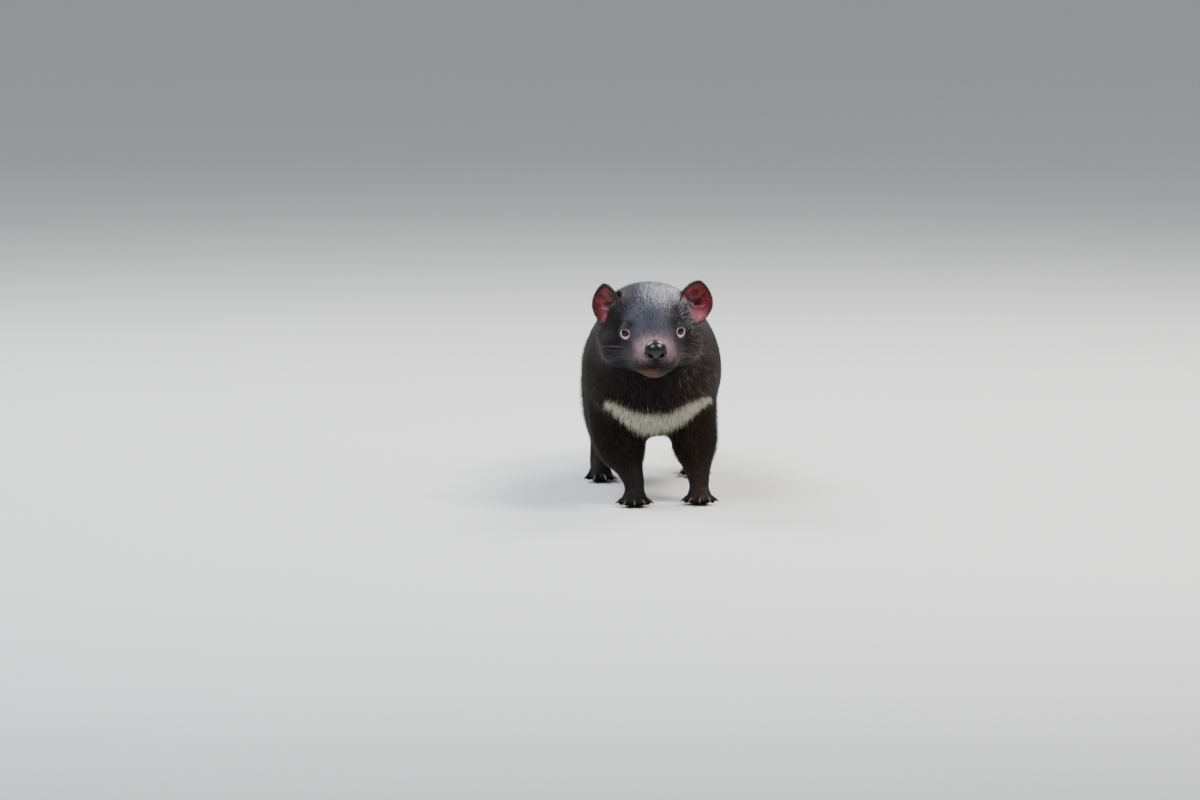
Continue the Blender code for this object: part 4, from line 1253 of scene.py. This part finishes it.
PATCH = 0.003
PIECE_LIMIT = 49000
COATS = {
    "coat_face_left": (("head",), "face", 1), "coat_face_right": (("head",), "face", -1),
    "coat_crown_left": (("head",), "face", 2), "coat_crown_right": (("head",), "face", -2),
    "coat_neck": (("neck",), None, 0),
    "coat_flank_left": (("torso",), "trunk", 1), "coat_flank_right": (("torso",), "trunk", -1),
    "coat_rump_left": (("torso",), "trunk", 2), "coat_rump_right": (("torso",), "trunk", -2),
    "coat_foreleg_left": (("foreleg_left", "forepaw_left"), None, 0),
    "coat_foreleg_right": (("foreleg_right", "forepaw_right"), None, 0),
    "coat_hindleg_left": (("hindleg_left", "hindpaw_left"), None, 0),
    "coat_hindleg_right": (("hindleg_right", "hindpaw_right"), None, 0),
    "coat_tail": (("tail",), None, 0),
}


def chosen_faces(faces, nodes, split, part):
    wanted = np.isin(faces.node, [FLESH.index(name) for name in nodes])
    x, y = faces.centre[:, 0], faces.centre[:, 1]
    if split == "face":
        local = in_head(faces.centre)
        wanted &= (local[:, 0] * part > 0) & ((local[:, 1] > 0.012) == (abs(part) == 2))
    if split == "trunk":
        wanted &= (x * part > 0) & ((y > -0.045) == (abs(part) == 2))
    return np.flatnonzero(wanted)


def bare_places(points):
    """Where no hair grows: eyes with their lids, the nose, the lips' edge and the soles."""
    bare = points[:, 2] < 0.0015
    for side in SIDES:
        local = in_eye(side, points)
        off = np.linalg.norm(local[:, :2], axis=1) + 1e-9
        bare |= (off < 0.86 * rim_reach(side, local[:, 0] / off, local[:, 1] / off)) & (local[:, 2] > 0) & (off < 0.02)
    from_nose = np.linalg.norm((in_head(points) - np.array(NOSE)) / np.array(NOSE_RADII), axis=1)
    behind_ear = np.zeros(len(points), bool)
    for side, sign in SIDES.items():
        back = np.array(ear_frame(side, sign).inverted())
        local = points @ back[:3, :3].T + back[:3, 3]
        cup = local / np.array((EAR_HALF_WIDTH + 0.0008, EAR_DEPTH + 0.0008, EAR_HALF_HEIGHT + 0.0008))
        behind_ear |= (np.linalg.norm(cup, axis=1) < 1) & (local[:, 1] > -0.004)
    return bare | (from_nose < 1.06) | behind_ear


def hair_size(points, depth):
    """Length, width and number per square metre of the tufts, from the depth of the coat: finest on the head."""
    local = in_head(points)
    fine = ease(0.105, 0.055, local[:, 1]) * ease(-0.085, -0.060, local[:, 2])
    full = np.clip(depth / sizes().body_coat, 0, 1)
    length = 0.0012 + depth / math.tan(sizes().coat_slant)
    width = sizes().tuft_width * (0.46 + 0.54 * full) * (1 - 0.22 * fine)
    low = ease(0.100, 0.040, points[:, 2]) * (points[:, 1] > -0.30)
    cover = (0.75 + 2.3 * full**0.8) * (1 + 0.75 * fine) * (1 - 0.34 * low)
    return length, width, np.minimum(cover / (0.5 * width * length), 5e6)


def clumped(roots, tips, size, share, rng):
    """Draws the tips of neighbouring tufts together, as locks of hair."""
    count = max(1, int(len(roots) * size))
    centres = rng.choice(len(roots), count, replace=False)
    tree = KDTree(count)
    for i, centre in enumerate(centres):
        tree.insert(roots[centre], i)
    tree.balance()
    near = centres[np.array([tree.find(root)[1] for root in roots])]
    gather = (tips[near] - roots[near]) + roots[near] * 0.55 + roots * 0.45
    return tips + (gather - tips) * share[:, None]


def grow_coat(name, faces, nodes, split, part, seed, material, thin):
    rng = np.random.default_rng(seed)
    chosen = chosen_faces(faces, nodes, split, part)
    corner_uv = unwrap(faces, chosen)
    centre = faces.centre[chosen]
    crowd = hair_size(centre, coat_depth(centre))[2]
    wanted = faces.area[chosen] * crowd * thin
    wanted *= min(1, PIECE_LIMIT / wanted.sum())
    counts = np.floor(wanted + rng.random(len(chosen))).astype(int)
    pick = np.repeat(np.arange(len(chosen)), counts)
    shares = rng.random((len(pick), 2))
    flip = shares.sum(1) > 1
    shares[flip] = 1 - shares[flip]
    weights = np.column_stack((1 - shares.sum(1), shares))
    corners = faces.corners[chosen[pick]]
    roots = (faces.points[corners] * weights[:, :, None]).sum(1)
    keep = ~bare_places(roots)
    roots, weights, corners, pick = roots[keep], weights[keep], corners[keep], pick[keep]
    normals = (faces.normals[corners] * weights[:, :, None]).sum(1)
    normals /= np.linalg.norm(normals, axis=1)[:, None]
    root_uv = (corner_uv[pick] * weights[:, :, None]).sum(1)
    count = len(roots)
    depth = coat_depth(roots)
    lies = lie_of(roots, normals)
    across = np.cross(lies, normals)
    wave = 0.16 * speckle(roots, 0.011) + 0.12 * speckle(roots, 0.0045, 1.0) + rng.normal(0, 0.13, count)
    headings = lies + across * wave[:, None]
    headings /= np.linalg.norm(headings, axis=1)[:, None]
    vary = 1.12 - 0.62 * rng.random(count) ** 2
    long, widths, _ = hair_size(roots, depth)
    lifts = np.maximum(depth * np.minimum(vary, 1.04) * 0.95, 0.0003)
    local = in_head(roots)
    lifts *= 1 + 0.42 * ease(0.000, 0.030, local[:, 1]) * ease(0.022, 0.040, local[:, 2])
    tips = roots + headings * (long * vary)[:, None]
    tips = clumped(roots, tips, 0.045, rng.uniform(0.05, 0.55, count), rng)
    run = tips - roots
    run -= (run * normals).sum(1)[:, None] * normals
    lengths = np.linalg.norm(run, axis=1)
    headings = run / lengths[:, None]
    widths = widths * rng.uniform(0.7, 1.3, count)
    marks = face_shares(roots)
    # Painted glints: a random share of tufts on the crown gets glinting tips
    silver = marks["silver"]
    marks["silver"] = (rng.random(count) < 0.60 * silver) * rng.uniform(0.35, 1.0, count)
    marks["tone"] = rng.random(count)
    marks["band"] = band_share(roots + headings * (lengths * 0.5)[:, None], rng.normal(0, 1, count))
    piece = tuft_mesh(name, roots, normals, headings, lengths, widths, lifts, root_uv, marks)
    return dress(piece, material, "fur")


class DEVIL_OT_coat(bpy.types.Operator):
    """Short dense coat of overlapping tufts that lie along the body"""
    bl_idname = "devil.coat"
    bl_label = "Coat"

    def execute(self, context):
        faces = SkinFaces(bpy.data.objects["skin"].data)
        material = coat_material()
        thin = 1.0
        for seed, (name, (nodes, split, part)) in enumerate(COATS.items()):
            grow_coat(name, faces, nodes, split, part, 100 + seed, material, thin)
        return {"FINISHED"}


def coat_material():
    shader = Shader("black_coat")
    tones = colours()
    along = shader.attribute("along")
    tone = shader.attribute("tone")
    patch = shader.noise(30, 3)
    black = shader.mix(along, tones.coat_root, tones.coat_tip)
    black = shader.mix(shader.span(tone, 0.55, 1.0) * 0.7, black, [2.4 * part for part in tones.coat_tip])
    black = shader.mix(shader.span(patch, 0.42, 0.66) * shader.span(tone, 0.3, 0.8) * 0.5, black, tones.coat_brown)
    black = shader.mix(shader.attribute("brown") * shader.span(tone, 0.25, 0.9) * 0.85, black, tones.coat_brown)
    # Painted sky reflection on the forehead's hair
    black = shader.mix(shader.attribute("slate") * shader.span(tone, 0.0, 0.7, 0.45, 0.95), black, tones.coat_sky_sheen)
    # Dark brow, partly painted shade under the brow
    black = shader.mix(shader.attribute("brow"), black, tones.coat_root)
    # Painted glints on crown hair tips, and the pale hairs at the ears' mouths
    tips = shader.attribute("silver") * shader.span(along, 0.15, 0.70)
    black = shader.mix(tips, black, tones.coat_glint_and_pale_hair)
    dark = shader.span(tone, 0.62, 0.80)
    face = shader.mix(dark, [1.9 * part for part in tones.muzzle], tones.coat_tip)
    black = shader.mix(shader.attribute("chin") * 0.85, black, [3.0 * part for part in tones.coat_brown])
    black = shader.mix(shader.attribute("muzzle") * 0.85, black, face)
    cream = shader.mix(along, [0.60 * part for part in tones.band], tones.band)
    cream = shader.mix(tone * 0.35, cream, (0.88, 0.87, 0.78))
    base = shader.mix(shader.attribute("band"), black, cream)
    made = shader.finish(Base_Color=base, Roughness=shader.span(tone, 0, 1, 0.38, 0.56))
    shader.surface.inputs["Specular IOR Level"].default_value = 0.17
    return made


# Hair of the ears, and whiskers


def ear_hair(side, sign, rng):
    """Short dark hair on the back of an ear, a fringe on its rim and pale hairs on the lump at its mouth."""
    rows = {name: [] for name in ("root", "normal", "heading", "length", "width", "lift", "silver", "wall")}
    there = ear_frame(side, sign)
    turn = there.to_3x3()
    thin = 1.0

    def add(point, normal, lie, length, width, lift, silver, wall):
        normal = normal.normalized()
        lie = (lie - lie.dot(normal) * normal).normalized()
        size = rng.uniform(0.7, 1.25)
        for name, value in (
            ("root", there @ point), ("normal", turn @ normal), ("heading", turn @ lie), ("length", length * size),
            ("width", width * rng.uniform(0.8, 1.2)), ("lift", lift * size), ("silver", silver), ("wall", wall),
        ):
            rows[name].append(value)

    for _ in range(int(7500 * thin)):
        angle, share = rng.uniform(0, 2 * math.pi), math.sqrt(rng.uniform(0.02, 1.0))
        point = ear_point(share, angle, sign, False)
        near = ear_point(max(0.01, share - 0.02), angle, sign, False)
        beside = ear_point(share, angle + 0.02, sign, False)
        normal = (point - near).cross(beside - point)
        if normal.y < 0:
            normal = -normal
        outward = (point - near).normalized()
        lie = Vector((0, 0.1, 0.8)) + outward * 0.5 + Vector(rng.normal(0, 0.12, 3))
        add(point + normal.normalized() * EAR_THICKNESS * 0.3, normal, lie, 0.0034, 0.00036, 0.0006, 0.0, 0)
    for _ in range(int(5200 * thin)):
        angle = rng.uniform(0, 2 * math.pi)
        edge = max(0, math.cos(angle - math.pi / 2 - sign * 0.7))
        share = 1 - abs(rng.normal(0, 0.022 + 0.030 * edge))
        point = ear_point(share, angle, sign, True)
        outward = Vector((math.cos(angle), 0, math.sin(angle)))
        normal = Vector((0, -1, 0)) + outward * (0.2 + 0.7 * ease_number(0.95, 1.0, share))
        lie = outward * 0.9 + Vector((0, -0.10, 0.40)) + Vector(rng.normal(0, 0.22, 3))
        over = Vector((0, -EAR_THICKNESS * 0.27, 0))
        add(point + over, normal, lie, 0.0019 + 0.0026 * edge, 0.00026, 0.0004 + 0.0003 * edge, 0.0, 1)
    for _ in range(int(1500 * thin)):
        angle = math.pi / 2 + sign * rng.uniform(-0.15, 1.9)
        share = 1 - abs(rng.normal(0, 0.07)) - 0.01
        point = ear_point(share, angle, sign, True)
        normal = Vector((sign * 0.25, -1, -0.1))
        lie = Vector((sign * rng.uniform(-0.1, 0.55), -0.2, 1.0)) + Vector(rng.normal(0, 0.15, 3))
        add(point - Vector((0, EAR_THICKNESS * 0.3, 0)), normal, lie, 0.0050, 0.00032, 0.0012, 0.0, 1)
    for _ in range(int(420 * thin)):
        outward, z = rng.normal(-0.0052, 0.0024), rng.normal(-0.0062, 0.0034)
        share = min(0.98, math.hypot(outward / EAR_HALF_WIDTH, z / EAR_HALF_HEIGHT) * 1.06)
        point = ear_point(share, math.atan2(z / EAR_HALF_HEIGHT, sign * outward / EAR_HALF_WIDTH), sign, True)
        lie = Vector((sign * rng.uniform(0.0, 0.9), -0.15, 0.9)) + Vector(rng.normal(0, 0.2, 3))
        add(point - Vector((0, 0.0010, 0)), Vector((0, -1, 0.2)), lie, 0.0056, 0.00026, 0.0016, rng.uniform(0, 0.8), 1)
    roots, normals, headings = (np.array([list(v) for v in rows[name]]) for name in ("root", "normal", "heading"))
    lengths, widths, lifts, silver, wall = (
        np.array(rows[name]) for name in ("length", "width", "lift", "silver", "wall")
    )
    local = (roots - np.array(there.translation)) @ np.array(turn)
    root_uv = np.column_stack((
        0.25 + 0.5 * wall + 0.22 * local[:, 0] / EAR_HALF_WIDTH, 0.5 + 0.45 * local[:, 2] / EAR_HALF_HEIGHT
    )).clip(0.01, 0.99)
    count = len(roots)
    zero = np.zeros(count)
    marks = {name: zero for name in ("band", "muzzle", "chin", "slate", "brow")}
    marks.update(tone=rng.random(count), silver=silver, brown=zero + 0.12)
    return tuft_mesh("coat_ear_" + side, roots, normals, headings, lengths, widths, lifts, root_uv, marks)


class DEVIL_OT_ear_hair(bpy.types.Operator):
    """Short dark hair on the backs and rims of the ears"""
    bl_idname = "devil.ear_hair"
    bl_label = "Ear Hair"

    def execute(self, context):
        material = bpy.data.materials["black_coat"]
        for seed, (side, sign) in enumerate(SIDES.items()):
            rng = np.random.default_rng(300 + seed)
            dress(ear_hair(side, sign, rng), material, "fur")
        return {"FINISHED"}


def whisker(shape, start, heading, drop, length, radius):
    """A closed bent hair that tapers to a point."""
    steps, points = 7, 4
    rings = []
    for i in range(steps):
        share = i / (steps - 1)
        centre = start + heading * length * share + drop * length * share**2
        along = (heading + 2 * drop * share).normalized()
        side = along.cross(Vector((0, 0, 1))).normalized()
        other = along.cross(side)
        thick = radius * (1 - share) ** 0.8 + 0.00003
        angles = [2 * math.pi * k / points for k in range(points)]
        rings.append([centre + thick * (math.cos(angle) * side + math.sin(angle) * other) for angle in angles])
    tube(shape, rings)


class DEVIL_OT_whiskers(bpy.types.Operator):
    """Whiskers of the lips, cheeks, brows and chin"""
    bl_idname = "devil.whiskers"
    bl_label = "Whiskers"

    def execute(self, context):
        skin = bpy.data.objects["skin"]
        tree = BVHTree.FromObject(skin, context.evaluated_depsgraph_get())
        rng = np.random.default_rng(7)
        shape = bmesh.new()
        turn = HEAD_TURN.to_3x3()
        longest = sizes().whisker_length
        for sign in SIDES.values():
            spots = []
            for row in range(4):
                for column in range(4):
                    y = MUZZLE_TIP + 0.010 + 0.0050 * column + 0.001 * row
                    z = -0.010 - 0.0042 * row
                    spots.append((0.030, y, z, 0.55 + 0.11 * column, 0.30 - 0.13 * row))
            spots += [(0.030, 0.000, 0.020, 0.55, 0.9), (0.026, 0.004, 0.024, 0.50, 1.1)]
            spots += [(0.060, 0.006, -0.028, 0.70, -0.3), (0.060, 0.010, -0.034, 0.62, -0.4)]
            for x, y, z, share, rise in spots:
                jitter = rng.normal(0, 1, 3) * 0.0010
                place = HEAD @ Vector((sign * x, y + jitter[1], z + jitter[2]))
                found, normal, _, _ = tree.find_nearest(place)
                heading = turn @ Vector((sign * 1.0, 0.30 + 0.12 * rng.normal(), 0.30 * rise + 0.08 * rng.normal()))
                heading = (heading.normalized() + 0.35 * normal).normalized()
                drop = Vector((0, 0.24, -0.16)) * rng.uniform(0.4, 1.5)
                length = longest * share * rng.uniform(0.85, 1.1)
                whisker(shape, found - normal * 0.0006, heading, drop, length, 0.00012)
            for _ in range(3):
                place = HEAD @ Vector((sign * rng.uniform(0.003, 0.013), -0.040 + 0.008 * rng.random(), -0.046))
                found, normal, _, _ = tree.find_nearest(place)
                heading = (normal * 0.6 + turn @ Vector((sign * 0.4, 0.3, -0.6))).normalized()
                whisker(shape, found - normal * 0.0006, heading, Vector((0, 0.1, -0.1)), 0.010, 0.00010)
        bmesh.ops.recalc_face_normals(shape, faces=shape.faces)
        piece = object_from("whiskers", shape)
        shader = Shader("whisker_hair")
        grey = shader.mix(shader.span(shader.noise(45, 2), 0.4, 0.6), (0.006, 0.005, 0.005), (0.075, 0.070, 0.070))
        dress(piece, shader.finish(Base_Color=grey, Roughness=0.45), "fur")
        return {"FINISHED"}


# Stage


class DEVIL_OT_stage(bpy.types.Operator):
    """Plain pale floor, soft studio light and the camera"""
    bl_idname = "devil.stage"
    bl_label = "Stage"

    def execute(self, context):
        scene = context.scene
        shape = bmesh.new()
        bmesh.ops.create_grid(shape, x_segments=1, y_segments=1, size=14)
        floor = object_from("floor", shape)
        shader = Shader("plain_floor")
        soft = shader.noise(3, 2)
        tone = colours().floor
        base = shader.mix(soft, tone, [0.97 * part for part in tone])
        floor.data.materials.append(shader.finish(Base_Color=base, Roughness=0.85))
        world = bpy.data.worlds.new("studio")
        scene.world = world
        world.use_nodes = True
        world.node_tree.nodes["Background"].inputs[0].default_value = (0.92, 0.96, 1.0, 1)
        world.node_tree.nodes["Background"].inputs[1].default_value = 0.50
        middle = Vector((0, -0.05, 0.14))
        for name, place, power, size, tint in (
            ("key", (1.3, -0.9, 2.1), 78, 0.8, (1.0, 0.96, 0.90)),
            ("sky", (-1.1, -1.6, 2.2), 58, 1.0, (0.82, 0.89, 1.0)),
            ("back_right", (1.1, 1.5, 2.1), 76, 1.2, (1.0, 0.98, 0.95)),
            ("back_left", (-1.4, 1.2, 2.1), 76, 1.4, (0.94, 0.97, 1.0)),
        ):
            data = bpy.data.lights.new(name, "AREA")
            data.energy = power
            data.size = size
            data.color = tint
            lamp = bpy.data.objects.new(name, data)
            scene.collection.objects.link(lamp)
            lamp.location = place
            lamp.rotation_mode = "QUATERNION"
            lamp.rotation_quaternion = (middle - Vector(place)).to_track_quat("-Z", "Y")
        place_camera(scene)
        return {"FINISHED"}


def place_camera(scene):
    """Level with the photo: 6.5 degrees above the animal, from far in front, with a long lens."""
    tilt, distance, metres = math.radians(6.5), 10.0, 0.00125
    forward = Vector((0, math.cos(tilt), -math.sin(tilt)))
    up = Vector((0, math.sin(tilt), math.cos(tilt)))
    centre = VIEW_POINT + Vector((1, 0, 0)) * (600 - 650) * metres + up * (498 - 400) * metres
    data = bpy.data.cameras.new("camera")
    data.lens = 240
    data.sensor_width = 36
    data.clip_end = 100
    camera = bpy.data.objects.new("camera", data)
    scene.collection.objects.link(camera)
    camera.location = centre - forward * distance
    camera.rotation_mode = "QUATERNION"
    camera.rotation_quaternion = forward.to_track_quat("-Z", "Y")
    scene.camera = camera


class DEVIL_PT_panel(bpy.types.Panel):
    """Makes the animal piece by piece"""
    bl_label = "Tasmanian Devil"
    bl_idname = "DEVIL_PT_panel"
    bl_space_type = "VIEW_3D"
    bl_region_type = "UI"
    bl_category = "Devil"

    def draw(self, context):
        for group in (context.scene.devil_sizes, context.scene.devil_colours):
            box = self.layout.box()
            for name in group.__annotations__:
                box.prop(group, name)
        for operator in OPERATORS:
            self.layout.operator(operator.bl_idname)


OPERATORS = (
    DEVIL_OT_skin, DEVIL_OT_eyes, DEVIL_OT_nose, DEVIL_OT_ears, DEVIL_OT_claws, DEVIL_OT_coat,
    DEVIL_OT_ear_hair, DEVIL_OT_whiskers, DEVIL_OT_stage,
)
CLASSES = (DevilSizes, DevilColours, *OPERATORS, DEVIL_PT_panel)


def register():
    for kind in CLASSES:
        bpy.utils.register_class(kind)
    bpy.types.Scene.devil_sizes = bpy.props.PointerProperty(type=DevilSizes)
    bpy.types.Scene.devil_colours = bpy.props.PointerProperty(type=DevilColours)


def unregister():
    del bpy.types.Scene.devil_colours
    del bpy.types.Scene.devil_sizes
    for kind in reversed(CLASSES):
        bpy.utils.unregister_class(kind)


def main():
    register()
    bpy.ops.devil.skin()
    bpy.ops.devil.eyes()
    bpy.ops.devil.nose()
    bpy.ops.devil.ears()
    bpy.ops.devil.claws()
    bpy.ops.devil.coat()
    bpy.ops.devil.ear_hair()
    bpy.ops.devil.whiskers()
    bpy.ops.devil.stage()


if __name__ == "__main__":
    main()
